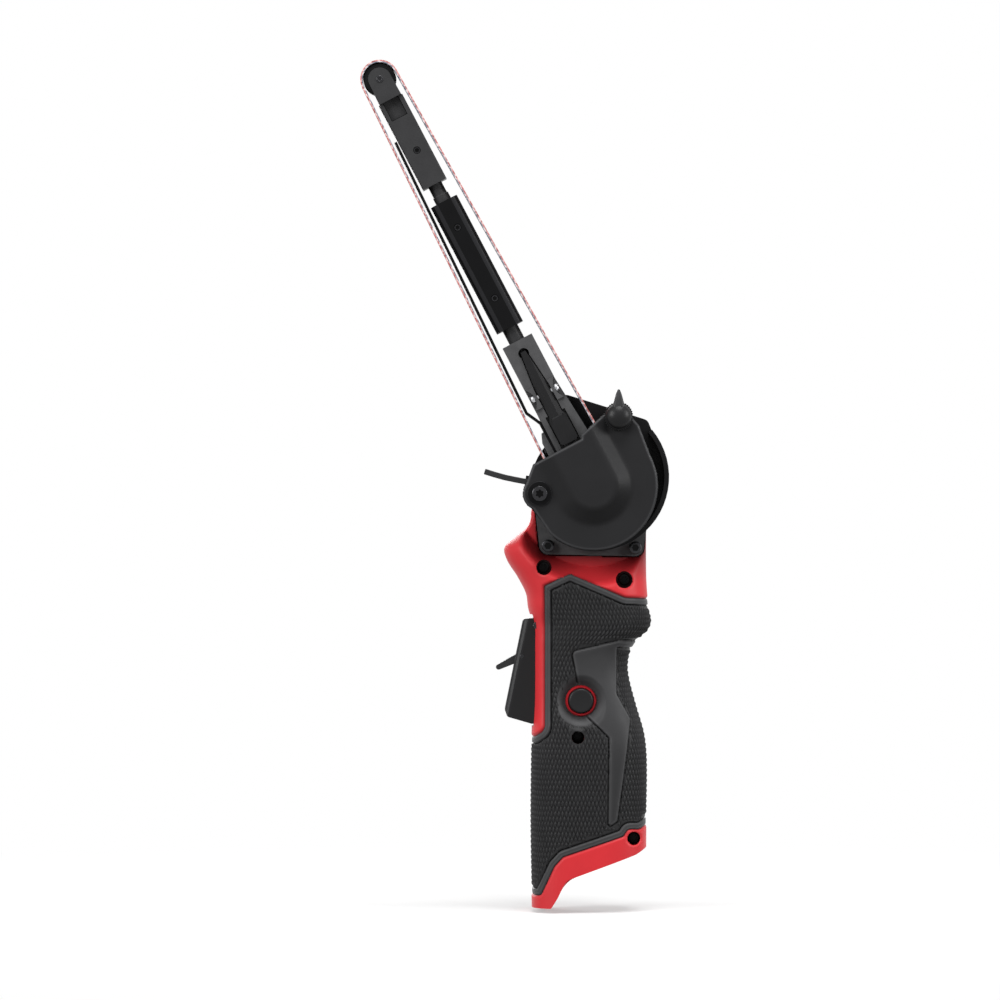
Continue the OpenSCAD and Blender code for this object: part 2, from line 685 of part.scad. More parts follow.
// Spindle, its bearings and the crowned pulley
spindle_front = -belt_offset - 4.5;
module spindle() color(steel) difference() {
    union() {
        rod_y([spindle_x, spindle_z], spindle_d / 2, spindle_front, gear_back + 0.1);
        rod_y([spindle_x, spindle_z], 2.5, gear_back, rear_seat[1] - 0.3);
    }
    rod_y([spindle_x, spindle_z], 1.5, spindle_front - 1, spindle_front + 9);
}
module spindle_bearings() color(steel) {
    tube_y([spindle_x, spindle_z], bearing_r, spindle_d / 2 + run_fit, nose_front + 0.2, bearing_back);
    tube_y([spindle_x, spindle_z], 8, 2.5 + run_fit, rear_seat[0], rear_seat[1] - 0.1);
}
module drive_pulley() color(steel) on_spindle() translate([0, -belt_offset, 0]) rotate([90, 0, 0])
    rotate_extrude() polygon([
        [spindle_d / 2, -pulley_half], [pulley_r - 0.25, -pulley_half], [pulley_r, -pulley_half / 3],
        [pulley_r, pulley_half / 3], [pulley_r - 0.25, pulley_half], [5, pulley_half],
        [5, 4.5], [spindle_d / 2, 4.5]
    ]);
module pulley_screw() color(dark_steel)
    screw_y([spindle_x, spindle_z], 4.5, spindle_front - 2.5, 1.48, spindle_front, spindle_front + 8, 2);

// Board, switch and battery terminals
board_face = 3.8;
board_half = control_half - 0.5;
chip_half = board_half - 2;
module control_board() color(board_green) {
    block(board_face - 1.6, board_face, -board_half, board_half, control_low + 1, control_high - 0.5);
    block(board_face, board_face + 2.6, -chip_half, chip_half, control_high - 11.5, control_high - 1.5);
    block(board_face, board_face + 4.8, -chip_half, 8 - chip_half, control_low + 4, control_low + 14);
    rod_x([5.5, control_low + 9], 4, board_face, board_face + 6.2);
}
switch_low = button_at[1] + button_r + 1.15;
switch_high = control_high - 0.2;
switch_half = 8;
plunger_rise = (switch_high - switch_low) / 4;
module switch_body() color(guard_black) {
    block(control_front + 1, -1, -switch_half, switch_half, switch_low, switch_high);
    block(
        control_front + 0.1, control_front + 1.1, -3, 3,
        switch_low + plunger_rise, switch_high - plunger_rise
    );
}
terminal_h = 8;
contact_seat = 3;
contact_len = 14.9;
contact_t = 1;
contact_half = 4;
contact_y = [-5.5, 0, 5.5];
module terminal_block() color(guard_black) difference() {
    block(-13, 7, -switch_half, switch_half, bay_depth - terminal_h, bay_depth);
    for (y = contact_y) block(
        -contact_half - 0.1, contact_half + 0.1, y - contact_t / 2 - 0.1, y + contact_t / 2 + 0.1,
        bay_depth - terminal_h - 1, bay_depth - contact_seat
    );
}
module battery_contacts() color(copper)
    for (y = contact_y) block(
        -contact_half, contact_half, y - contact_t / 2, y + contact_t / 2,
        bay_depth - contact_seat - 0.1 - contact_len, bay_depth - contact_seat - 0.1
    );

module button_bezel() color(housing_red)
    for (k = [0, 1]) mirror([0, k, 0])
        tube_y(button_at, bezel_r, button_r + run_fit, -bezel_face, -dish_in + 0.6);
module shuttle_button() color(guard_black) {
    rod_y(button_at, button_r, -button_reach, button_reach);
}

// Trigger: hinged paddle, its lock-off lever and their pins
module paddle_pin() color(steel) rod_y(paddle_at, paddle_pin_d / 2, -pin_half, pin_half);
module paddle() color(guard_black) difference() {
    intersection() {
        on_y(-paddle_w / 2, paddle_w / 2) polygon(rounded(PADDLE));
        translate([PADDLE[1][0], 0, PADDLE[1][1]]) rotate([0, paddle_lean, 0]) translate([0, 0, -60])
            linear_extrude(80) polygon(rounded([
                [-0.4, -paddle_w / 2, paddle_round], [30, -paddle_w / 2, 0],
                [30, paddle_w / 2, 0], [-0.4, paddle_w / 2, paddle_round]
            ]));
    }
    rod_y(paddle_at, paddle_pin_d / 2 + run_fit, -20, 20);
    rod_y(lever_at, 1, -20, 20);
    block(
        -handle_w, lever_at[0] + 2.9, -lever_w / 2 - pass_gap, lever_w / 2 + pass_gap,
        lever_at[1] - 4.2, lever_at[1] + 3.6
    );
}
module lock_lever_pin() color(steel) rod_y(lever_at, 1 - snug_fit, -paddle_w / 2 + 0.2, paddle_w / 2 - 0.2);
lever_reach = 11.1;
lever_droop = 25.6;
module lock_off_lever() color(dark_steel) translate([lever_at[0], 0, lever_at[1]]) difference() {
    on_y(-lever_w / 2, lever_w / 2) polygon(wrap([
        [0, 0, lever_t / 2 + 0.8],
        [polar(lever_reach, 180 + lever_droop)[0], polar(lever_reach, 180 + lever_droop)[1], lever_t / 2]
    ]));
    rod_y([0, 0], 1 + run_fit, -9, 9);
}

// Back plate of the head, with a collar that turns on the nose and a rim round the belt
guard_right = corner(sweep_at + polar(sweep_r, 12), [33.8, 14], [20.5, 27.5], 3);
guard_top = concat(
    corner([33.8, 14], [20.5, 27.5], [8, 40], 3),
    corner([20.5, 27.5], [8, 40], [-base_w / 2, 40], 3),
    corner([8, 40], [-base_w / 2, 40], [-base_w / 2, 27], 3)
);
module guard_plate(y0, y1) on_y(y0, y1) polygon(concat(
    arc(sweep_at, sweep_r, -150, 12, 26), guard_right, guard_top,
    arc([0, 0], guard_r, 106, 143, 6), arc(hinge_at, 6.6, 100, 195, 8)
));
rim_t = 2;
cover_skirt = cover_in + 4.9;
rim_front = cover_skirt + pass_gap;
collar_back = flange_front - 0.4 + belt_offset;
module guard_back() color(guard_black) on_arm() difference() {
    union() {
        guard_plate(plate_in, plate_out);
        rod_y([0, 0], nose_r + 3.5, plate_in + 0.5, collar_back);
        on_y(rim_front, plate_in + 0.5) polygon(concat(
            arc(sweep_at, sweep_r, -150, 12, 26), arc(sweep_at, sweep_r - rim_t, 12, -150, 26)
        ));
        rod_y(hinge_at, post_r, cover_in + pass_gap, plate_in + 0.5);
        rod_y(knob_at, post_r, cover_in + pass_gap, plate_in + 0.5);
        on_y(-5, plate_in + 0.5) polygon(ribbon([flap_path[0], flap_path[1]], flap_t + 2.8));
    }
    rod_y([0, 0], nose_r + run_fit, -20, 20);
    rod_y(hinge_at, 2 + snug_fit, -20, plate_in - 1);
    rod_y(knob_at, 2 + run_fit, -20, plate_in - 1);
    on_y(-6, plate_in - 0.9) polygon(ribbon(flap_path, flap_t + 0.1));
    for (t = arm_screw_t) rod_y([0, t], 1.6, 0, 20);
}

// Cover over the pulley, hinged on a screw and held by a quarter-turn knob
bulge_r = [16.6, 9.7];
skirt_end = [cover_r + 1.7, 13.9];
cover_top = 20;
cover_peak = [17.7, cover_top + 4.8];
module cover_area() polygon(concat(
    arc([0, 0], cover_r, -160, 0, 26),
    [skirt_end, [28.1, 17.7], cover_peak, [5.6, cover_top + 1.6], [4.7, cover_top], [-18.4, cover_top]],
    arc(hinge_at, 7.2, 115, 220, 8)
));
module guard_cover() color(guard_black) on_arm() difference() {
    union() {
        on_y(cover_out, cover_in) cover_area();
        on_y(cover_in - 0.5, cover_skirt) polygon(concat(
            arc([0, 0], cover_r, -150, 0, 26), [skirt_end, skirt_end - [cover_t, 0]],
            arc([0, 0], cover_r - cover_t, 0, -150, 26)
        ));
        intersection() {
            bulge(bulge_r[0], bulge_r[1], cover_out + 0.5, cover_out - bulge_h, cover_peak[1]);
            on_y(cover_out - bulge_h - 1, cover_in) cover_area();
        }
    }
    bulge(
        bulge_r[0] - cover_t, bulge_r[1] - cover_t, cover_in + 0.1, cover_out - bulge_h + cover_t,
        cover_top - cover_t
    );
    rod_y(hinge_at, 2 + run_fit, -30, 10);
    on_y(-30, 0) polygon(wrap([[knob_at[0], knob_at[1], 2.3], [knob_at[0] - 5.8, knob_at[1] + 19, 2.3]]));
}

// Raised panel that follows the pulley and runs up to the edge of the cover
module bulge(r0, r1, y0, y1, high) {
    n = 24;
    low = concat(arc([0, 0], r0, 180, 360, n), [[r0, high], [-r0, high]]);
    tip = concat(arc([0, 0], r1, 180, 360, n), [[r1, high], [-r1, high]]);
    m = len(low);
    polyhedron(
        points = concat([for (p = low) [p[0], y0, p[1]]], [for (p = tip) [p[0], y1, p[1]]]),
        faces = concat(
            [[for (i = [0:m - 1]) i]],
            [for (i = [0:m - 1]) [i, m + i, (i + 1) % m]],
            [for (i = [0:m - 1]) [(i + 1) % m, m + i, m + (i + 1) % m]],
            [[for (i = [m - 1:-1:0]) m + i]]
        )
    );
}
module cover_pivot_screw() color(dark_steel) on_arm()
    screw_y(hinge_at, 3.3, cover_out - 2.8, 2, cover_out - 0.7, plate_in - 1.2, 1.8);
module pivot_washer() color(steel) on_arm()
    tube_y(hinge_at, 5.2, 2 + snug_fit, cover_out - 0.7, cover_out - 0.05);
knob_r = 5.9;
knob_h = 6.6;
fin_len = 11.4;
fin_half = 3.1;
module cover_knob() color(dark_steel) on_arm() translate([knob_at[0], 0, knob_at[1]]) {
    face = cover_out - pass_gap;
    rod_y([0, 0], 2, face - 0.5, plate_in - 1.3);
    on_y(face - 2.4, face) polygon([for (i = [0:71]) polar(i % 2 == 0 ? knob_r + 0.3 : knob_r, 5 * i)]);
    translate([0, face, 0]) rotate([90, 0, 0]) rotate_extrude($fn = 36) polygon(concat(
        [[0, 2.3], [knob_r - 0.2, 2.3]],
        [for (a = [0:15:90]) [(knob_r - 0.4) * cos(a), 2.4 + (knob_h - 2.4) * sin(a)]]
    ));
    rotate([0, arm_tilt, 0]) on_y(face - 5, face - 2.3)
        polygon(concat(
            arc([0, 0], fin_half, 180, 360, 12),
            corner([fin_half, 0], [0.6, fin_len], [-0.6, fin_len], 0.4),
            corner([0.6, fin_len], [-0.6, fin_len], [-fin_half, 0], 0.4)
        ));
}

// Cast base of the arm, with the bore for the rod and ears for the latch
arm_screw_t = [22, 35];
ear_front = -8.2;
base_front = -7.2;
scoop_floor = -4.2;
latch_half = 3;
latch_tip = 1.1;
latch_room = 0.5;
notch_t = base_top - 6;
latch_slot = [[-latch_half - latch_room, 30], [latch_half + latch_room, 30], [latch_half + latch_room, 47],
    [latch_tip + 0.8, notch_t - 1.5], [-latch_tip - 0.8, notch_t - 1.5], [-latch_half - latch_room, 47]];
module arm_base() color(cast_grey) on_arm() difference() {
    union() {
        on_y(base_front, plate_in) polygon([
            [-base_w / 2, base_low], [base_w / 2 + 2.6, base_low], [base_w / 2, 48],
            [base_w / 2, base_top], [-base_w / 2, base_top]
        ]);
        block(-base_w / 2, base_w / 2, ear_front, base_front + 0.5, 39.5, 49);
    }
    rod_z([0, 0], rod_r + run_fit, 29, base_top + 1);
    rod_y([0, notch_t], 2.3, -20, 0);
    on_y(-20, latch_groove) polygon(latch_slot);
    block(-4.6, 4.6, -20, latch_groove, 0, 35);
    for (k = [-1, 1]) rod_y([k * (base_w / 2 + 4.3), latch_pivot[0]], 6.5, -20, scoop_floor);
    rod_x([latch_pivot[1], latch_pivot[0]], 1 + snug_fit, -20, 20);
    for (t = arm_screw_t) rod_y([0, t], 1.4 + snug_fit, 1, 20);
    for (y = [-2.8, 2.8]) rod_x([y, platen_screw_t], 1.2 + snug_fit, -20, -1);
    rod_y([0, 0], ring_r + pass_gap, plate_in - 1.3, plate_in + 1);
}
module arm_screws() color(dark_steel) on_arm() for (t = arm_screw_t) {
    rod_y([0, t], 2.5, plate_out, plate_out + 1.4);
    rod_y([0, t], 1.4, t > 29 ? 4.4 : 1.2, plate_out + 0.5);
}
module latch_pin() color(steel) on_arm() {
    rod_x([latch_pivot[1], latch_pivot[0]], 1, -6, 6);
    for (k = [0, 1]) mirror([k, 0, 0]) rod_x([latch_pivot[1], latch_pivot[0]], 1.6, 5, 6.2);
}

// Rocking latch that holds the arm drawn in while a belt is changed
latch_side = [
    [64.3, -8], [64.3, -3.95], [62.2, -3.95], [61.4, -5.1], [47.5, -5.1], [46, -4.75], [42.6, -4.75],
    [41, -5.2], [33.5, -6.2], [33, -6.9], [21, -6.9], [21, -9], [33, -9.1], [35, -8.3], [60, -8.1]
];
latch_plan = [[-latch_tip, 64.3], [-latch_half, 47], [-latch_half, 34.5], [-4, 32.5], [-4, 22], [-3, 21],
    [3, 21], [4, 22], [4, 32.5], [latch_half, 34.5], [latch_half, 47], [latch_tip, 64.3]];
latch_pad = [[-2.1, 33.4], [-4, 30], [-4, 22], [-3, 21], [3, 21], [4, 22], [4, 30], [2.1, 33.4]];
latch_ridge = [[-4, 0], [-4, -7], [0, -8.7], [4, -7], [4, 0]];
module tension_latch() color(anodised) on_arm() difference() {
    intersection() {
        union() {
            on_y(-8.3, 0) polygon(latch_plan);
            on_y(-12, -8.2) polygon(latch_pad);
        }
        translate([-6, 0, 0]) rotate([90, 0, 90]) linear_extrude(12)
            polygon([for (p = latch_side) [p[1], p[0]]]);
        union() {
            translate([0, 0, 33.4]) linear_extrude(32) polygon(latch_ridge);
            block(-5, 5, -12, 0, 20, 33.5);
        }
    }
    rod_x([latch_pivot[1], latch_pivot[0]], 1 + run_fit, -10, 10);
}

// Strip behind the cutting run of the belt, and the wedge that clamps it
platen_s = base_w / 2 + platen_t / 2;
platen_path = [[-platen_s, 16.5], [-platen_s, 34], [-10.7, 40.5], [-tip_block_w / 2 - 0.9, tip_low + 23.5]];
platen_screw_t = 22;
module platen() color(anodised) on_arm() difference() {
    on_y(-5.5, 5.5) polygon(ribbon(platen_path, platen_t));
    for (y = [-2.8, 2.8]) rod_x([y, platen_screw_t], 1.3, -20, -1);
}
clamp_face = -platen_s - platen_t / 2;
module platen_clamp() color(cast_grey) on_arm() difference() {
    on_y(-5.5, 5.5) polygon([[clamp_face, 17], [clamp_face, 30], [clamp_face - 1, 30], [clamp_face - 2.6, 26],
        [clamp_face - 2.6, 17]]);
    for (y = [-2.8, 2.8]) rod_x([y, platen_screw_t], 1.3, -20, -1);
}
module platen_screws() color(dark_steel) on_arm() for (y = [-2.8, 2.8]) {
    rod_x([y, platen_screw_t], 1.2, clamp_face - 2.7, -2.5);
    rod_x([y, platen_screw_t], 2.1, clamp_face - 3.5, clamp_face - 2.6);
}

module spark_flap() color(rubber_black) on_arm()
    on_y(-belt_half, belt_half) polygon(ribbon(flap_path, flap_t));

// Belt loop round the pulley and the roller
module loop_area(grow) polygon(wrap([
    [0, 0, pulley_path + grow],
    [0, arm_len, roller_path + grow]
], 40));
module abrasive_belt() color(belt_pink) on_arm() difference() {
    on_y(-belt_half, belt_half) loop_area(belt_t / 2);
    on_y(-belt_half - 1, belt_half + 1) loop_area(-belt_t / 2);
}

// Coil spring under the rod
spring_turns = 8;
spring_r = rod_r - 0.9;
wire_r = 0.45;
module tension_spring() color(steel) on_arm() {
    steps = spring_turns * 10;
    low = 29 + wire_r + 0.05;
    high = rod_low - wire_r - 0.05;
    rings = [
        for (i = [0:steps])
            [for (j = [0:5]) let (q = polar(spring_r + wire_r * cos(60 * j), 36 * i))
                [q[0], q[1], low + (high - low) * i / steps + wire_r * sin(60 * j)]]
    ];
    polyhedron(
        points = [for (r = rings) each r],
        faces = concat(
            [[for (j = [0:5]) j]],
            [for (i = [0:steps - 1], j = [0:5]) [i * 6 + j, i * 6 + 6 + j, i * 6 + (j + 1) % 6]],
            [for (i = [0:steps - 1], j = [0:5]) [i * 6 + (j + 1) % 6, i * 6 + 6 + j, i * 6 + 6 + (j + 1) % 6]],
            [[for (j = [5:-1:0]) steps * 6 + j]]
        )
    );
}

// Sliding rod with the bar and tip block fixed on it
module arm_rod() color(dark_steel) on_arm() difference() {
    union() {
        rod_z([0, 0], rod_r, rod_low, bar_high + 3.2);
        rod_z([0, 0], spigot_r, bar_high + 3, tip_bore_top - 0.5);
    }
    difference() {
        rod_z([0, 0], rod_r + 1, groove_low, base_top);
        rod_z([0, 0], rod_r - 0.85, groove_low - 1, base_top + 1);
    }
}
module arm_bar() color(anodised) on_arm() difference() {
    translate([0, 0, bar_low]) linear_extrude(bar_high - bar_low) polygon([
        for (k = [0:3]) let (a = bar_w / 2, c = a - bar_chamfer, u = [cos(90 * k), sin(90 * k)], v = [-u[1], u[0]])
            each [u * a - v * c, u * a + v * c]
    ]);
    rod_z([0, 0], rod_r + snug_fit, bar_low - 1, bar_high + 1);
    for (t = bar_screw_t) rod_y([0, t], 1.6, -20, 0);
}
module bar_screws() color(dark_steel) on_arm() for (t = bar_screw_t) difference() {
    rod_y([0, t], 1.6 - snug_fit, -bar_w / 2 + 0.4, -rod_r - 0.1);
    translate([0, -bar_w / 2 + 1.4, t]) rotate([90, 0, 0]) cylinder(r = 0.9, h = 4, $fn = 6);
}
module tip_block() color(dark_steel) on_arm() difference() {
    translate([0, 0, tip_low]) linear_extrude(tip_block_len) polygon(rounded([
        for (k = [0:3]) [for (q = polar(tip_block_w / 2 * sqrt(2), 45 + 90 * k)) q, 0.7]
    ]));
    rod_z([0, 0], spigot_r + snug_fit, tip_low - 1, tip_bore_top);
    rod_y([0, tip_screw_t], 1.6, -20, 0);
    block(-3.7, 3.7, -20, 3.7, tip_top - 8.6, tip_top + 1);
}
module tip_block_screw() color(dark_steel) on_arm() difference() {
    rod_y([0, tip_screw_t], 1.6 - snug_fit, -tip_block_w / 2 + 0.4, -spigot_r - 0.1);
    translate([0, -tip_block_w / 2 + 1.4, tip_screw_t]) rotate([90, 0, 0]) cylinder(r = 0.9, h = 4, $fn = 6);
}

// Fork, axle and roller at the tip
cheek_r = roller_r - 2.1;
module tip_fork() color(dark_steel) on_arm() difference() {
    union() {
        for (k = [0, 1]) mirror([0, k, 0]) on_y(cheek_in, cheek_out) polygon(concat(
            arc([0, arm_len], cheek_r, -5, 185, 20),
            [[-cheek_r - 0.25, fork_foot], [cheek_r + 0.25, fork_foot]]
        ));
        block(-cheek_r - 0.25, cheek_r + 0.25, -cheek_in - 0.5, cheek_in + 0.5, fork_foot, fork_web);
        block(-3.5, 3.5, -3.5, 3.5, tip_top - 8.3, fork_foot + 0.5);
    }
    rod_y([0, arm_len], axle_d / 2 + snug_fit, -20, 20);
}
module roller_axle() color(steel) on_arm() difference() {
    rod_y([0, arm_len], axle_d / 2, -cheek_out - 0.3, cheek_out + 0.3);
    translate([0, -cheek_out + 0.9, arm_len]) rotate([90, 0, 0]) cylinder(r = 0.8, h = 4, $fn = 6);
}
module tip_roller() color(dark_steel) on_arm() translate([0, 0, arm_len]) rotate([90, 0, 0])
    rotate_extrude() polygon([
        [axle_d / 2 + run_fit, -roller_half], [roller_r - 0.2, -roller_half], [roller_r, -roller_half / 3],
        [roller_r, roller_half / 3], [roller_r - 0.2, roller_half], [axle_d / 2 + run_fit, roller_half]
    ]);

left_shell();
right_shell();
left_grip();
right_grip();
shell_screws();
gear_case();
gear_case_screws();
swivel_retainer();
retainer_screws();
stator();
stator_windings();
motor_bearings();
spindle_bearings();
control_board();
switch_body();
terminal_block();
battery_contacts();
button_bezel();
paddle_pin();
paddle();
lock_lever_pin();
lock_off_lever();
shuttle_button();
spindle();
bevel_gear();
drive_pulley();
pulley_screw();
rotor_core();
rotor_shaft();
bevel_pinion();
motor_fan();
guard_back();
cover_pivot_screw();
pivot_washer();
arm_base();
arm_screws();
platen();
platen_clamp();
platen_screws();
spark_flap();
abrasive_belt();
latch_pin();
tension_spring();
guard_cover();
cover_knob();
tension_latch();
arm_rod();
arm_bar();
bar_screws();
tip_block();
tip_block_screw();
tip_fork();
roller_axle();
tip_roller();
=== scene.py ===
import json
import math
from functools import partial

import bmesh
import bpy
import numpy as np
from mathutils import Matrix, Vector

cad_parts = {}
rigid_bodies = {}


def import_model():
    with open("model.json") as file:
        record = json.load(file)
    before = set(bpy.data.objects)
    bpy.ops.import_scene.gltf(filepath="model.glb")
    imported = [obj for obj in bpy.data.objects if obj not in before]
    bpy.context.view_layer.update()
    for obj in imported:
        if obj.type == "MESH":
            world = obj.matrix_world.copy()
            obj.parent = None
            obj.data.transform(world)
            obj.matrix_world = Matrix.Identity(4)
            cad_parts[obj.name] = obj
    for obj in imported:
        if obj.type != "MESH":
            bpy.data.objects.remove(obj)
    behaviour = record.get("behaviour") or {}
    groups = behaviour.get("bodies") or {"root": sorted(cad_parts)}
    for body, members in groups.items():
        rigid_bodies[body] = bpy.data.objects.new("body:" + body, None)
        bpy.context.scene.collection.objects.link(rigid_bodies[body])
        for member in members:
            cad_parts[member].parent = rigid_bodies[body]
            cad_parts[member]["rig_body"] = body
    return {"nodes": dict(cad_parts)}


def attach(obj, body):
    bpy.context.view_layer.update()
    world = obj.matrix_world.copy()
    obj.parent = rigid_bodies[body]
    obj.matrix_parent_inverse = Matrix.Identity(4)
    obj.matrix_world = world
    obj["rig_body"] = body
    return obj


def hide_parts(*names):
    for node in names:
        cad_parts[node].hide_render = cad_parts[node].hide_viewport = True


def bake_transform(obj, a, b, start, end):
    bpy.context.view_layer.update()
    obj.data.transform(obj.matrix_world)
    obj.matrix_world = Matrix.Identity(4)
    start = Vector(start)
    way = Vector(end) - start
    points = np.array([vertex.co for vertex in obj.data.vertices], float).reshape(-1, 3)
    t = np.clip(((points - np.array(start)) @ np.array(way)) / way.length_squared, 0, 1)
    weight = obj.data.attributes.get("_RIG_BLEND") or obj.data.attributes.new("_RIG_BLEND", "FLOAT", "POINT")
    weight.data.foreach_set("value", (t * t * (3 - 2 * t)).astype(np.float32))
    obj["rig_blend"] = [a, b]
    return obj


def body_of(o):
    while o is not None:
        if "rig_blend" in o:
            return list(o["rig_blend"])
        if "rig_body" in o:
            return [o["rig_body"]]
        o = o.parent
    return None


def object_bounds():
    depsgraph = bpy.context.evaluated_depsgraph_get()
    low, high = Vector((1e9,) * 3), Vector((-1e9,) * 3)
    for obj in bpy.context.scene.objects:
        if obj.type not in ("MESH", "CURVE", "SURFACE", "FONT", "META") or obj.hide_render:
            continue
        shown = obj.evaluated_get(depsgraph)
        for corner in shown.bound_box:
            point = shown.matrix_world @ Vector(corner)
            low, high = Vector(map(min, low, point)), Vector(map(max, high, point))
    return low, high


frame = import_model()
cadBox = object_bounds()
nodes = frame["nodes"]
scene = bpy.context.scene
scene.view_settings.view_transform = "Standard"
mm = 0.001

# Places shared by many pieces, in millimetres
spindle = {"x": 1.3, "y": -19.5, "z": 180.0, "tilt": 27.7, "armLength": 195.036}
millimetres = Matrix.Scale(mm, 4)
armFrame = (
    Matrix.Translation(Vector((spindle["x"], spindle["y"], spindle["z"])) * mm)
    @ Matrix.Rotation(math.radians(-spindle["tilt"]), 4, "Y")
    @ millimetres
)
towardViewer = Matrix.Rotation(math.pi / 2, 4, "X")  # local Z becomes -Y


# Tools for node trees

def feed(tree, node, inputs):  # links sockets to the inputs and sets plain values on them
    for key, value in inputs.items():
        if isinstance(value, bpy.types.NodeSocket):
            tree.links.new(value, node.inputs[key])
        else:
            node.inputs[key].default_value = value
    return node


def addNode(tree, kind, output=0, inputs=None, **settings):  # gives back one output of the new node
    node = tree.nodes.new(kind)
    for key, value in settings.items():
        setattr(node, key, value)
    return feed(tree, node, inputs or {}).outputs[output]


# Finishes, a row for each: colours are as on screen, grain depth is in millimetres, the next to last value is
# how much painted highlight the rims and bevels get, and the last says how many times paler that painted
# highlight is

finishColumns = (
    "slot", "colour", "mottle", "mottleScale", "rough", "spread", "gloss", "metal",
    "grainScale", "grainDepth", "highlightShare", "edge",
)
finishRows = {
    "redNylon": ("housing", (202, 46, 52), 0.04, 70, 0.46, 0.06, 0.22, 0, 2600, 0.03, 0.1, 2.2),
    "ringRed": ("housing", (150, 22, 30), 0.04, 70, 0.4, 0.06, 0.22, 0, 2600, 0.02, 0.1, 2.2),
    "gripRubber": ("grip_rubber", (58, 58, 59), 0.08, 90, 0.46, 0.07, 0.1, 0, 3400, 0.03, 0.7, 2),
    "flapRubber": ("grip_rubber", (40, 40, 41), 0.1, 120, 0.55, 0.07, 0.14, 0, 3000, 0.03, 0.3, 2.2),
    "coverBlack": ("guard_plastic", (36, 36, 37), 0.07, 60, 0.33, 0.05, 0.08, 0, 3800, 0.02, 0.9, 4),
    "guardBlack": ("guard_plastic", (19, 19, 20), 0.1, 60, 0.46, 0.08, 0.1, 0, 3600, 0.02, 0.4, 2.2),
    "triggerBlack": ("trigger_plastic", (26, 26, 27), 0.08, 80, 0.36, 0.05, 0.16, 0, 3000, 0.015, 0.5, 2.2),
    "castGrey": ("cast_metal", (68, 68, 69), 0.16, 240, 0.46, 0.08, 0.2, 0.05, 1800, 0.04, 0.7, 3),
    "blockGrey": ("dark_steel", (46, 46, 47), 0.1, 160, 0.44, 0.08, 0.16, 0.05, 2400, 0.02, 0.7, 1.6),
    "latchGrey": ("black_metal", (24, 24, 25), 0.1, 140, 0.4, 0.07, 0.16, 0.05, 2600, 0.015, 0.8, 2.6),
    "barBlack": ("black_metal", (12, 12, 13), 0.1, 140, 0.36, 0.07, 0.08, 0.05, 2600, 0.015, 0.8, 5),
    "darkSteel": ("dark_steel", (46, 46, 48), 0.12, 300, 0.2, 0.08, 0.4, 0.8, 2800, 0.01, 0.8, 2.2),
    "brightSteel": ("steel", (170, 171, 174), 0.06, 260, 0.26, 0.08, 0.5, 1, 2600, 0.008, 0.2, 2.2),
    "copperWire": ("copper", (184, 108, 62), 0.12, 500, 0.34, 0.08, 0.5, 1, 3000, 0.02, 0.2, 2.2),
    "boardGreen": ("board", (26, 86, 52), 0.18, 420, 0.4, 0.08, 0.4, 0, 2400, 0.01, 0.2, 2.2),
    "beltGrit": ("sanding_belt", (178, 104, 100), 0.4, 900, 0.85, 0.08, 0.1, 0, 4200, 0.25, 0, 1),
    "beltCloth": ("sanding_belt", (112, 116, 130), 0.3, 1200, 0.9, 0.05, 0.1, 0, 3800, 0.12, 0, 1),
}
finishes = {name: dict(zip(finishColumns, row)) for name, row in finishRows.items()}
frayed = {  # cut edges of the belt: colour and length of the paler patches, and the colour of the flat side
    "beltGrit": {"patch": (226, 190, 186), "length": 1.9, "face": (142, 66, 60)},
    "beltCloth": {"patch": (206, 200, 204), "length": 2.3, "face": (150, 142, 136)},
}
noiseRange = (0.3, 0.7)  # noise values that are spread over the full range
patchRange = (0.46, 0.6)  # the same for the paler patches
# paintedShadeDim is how dark the painted shade makes a colour
paintedShadeDim, bumpStrength = 0.08, 0.6


def linear(colour):  # 8-bit screen colour to linear light
    return tuple(((c / 255 + 0.055) / 1.055) ** 2.4 for c in colour) + (1.0,)


def scaled(colour, factor):
    return tuple(min(1.0, c * factor) for c in colour[:3]) + (1.0,)


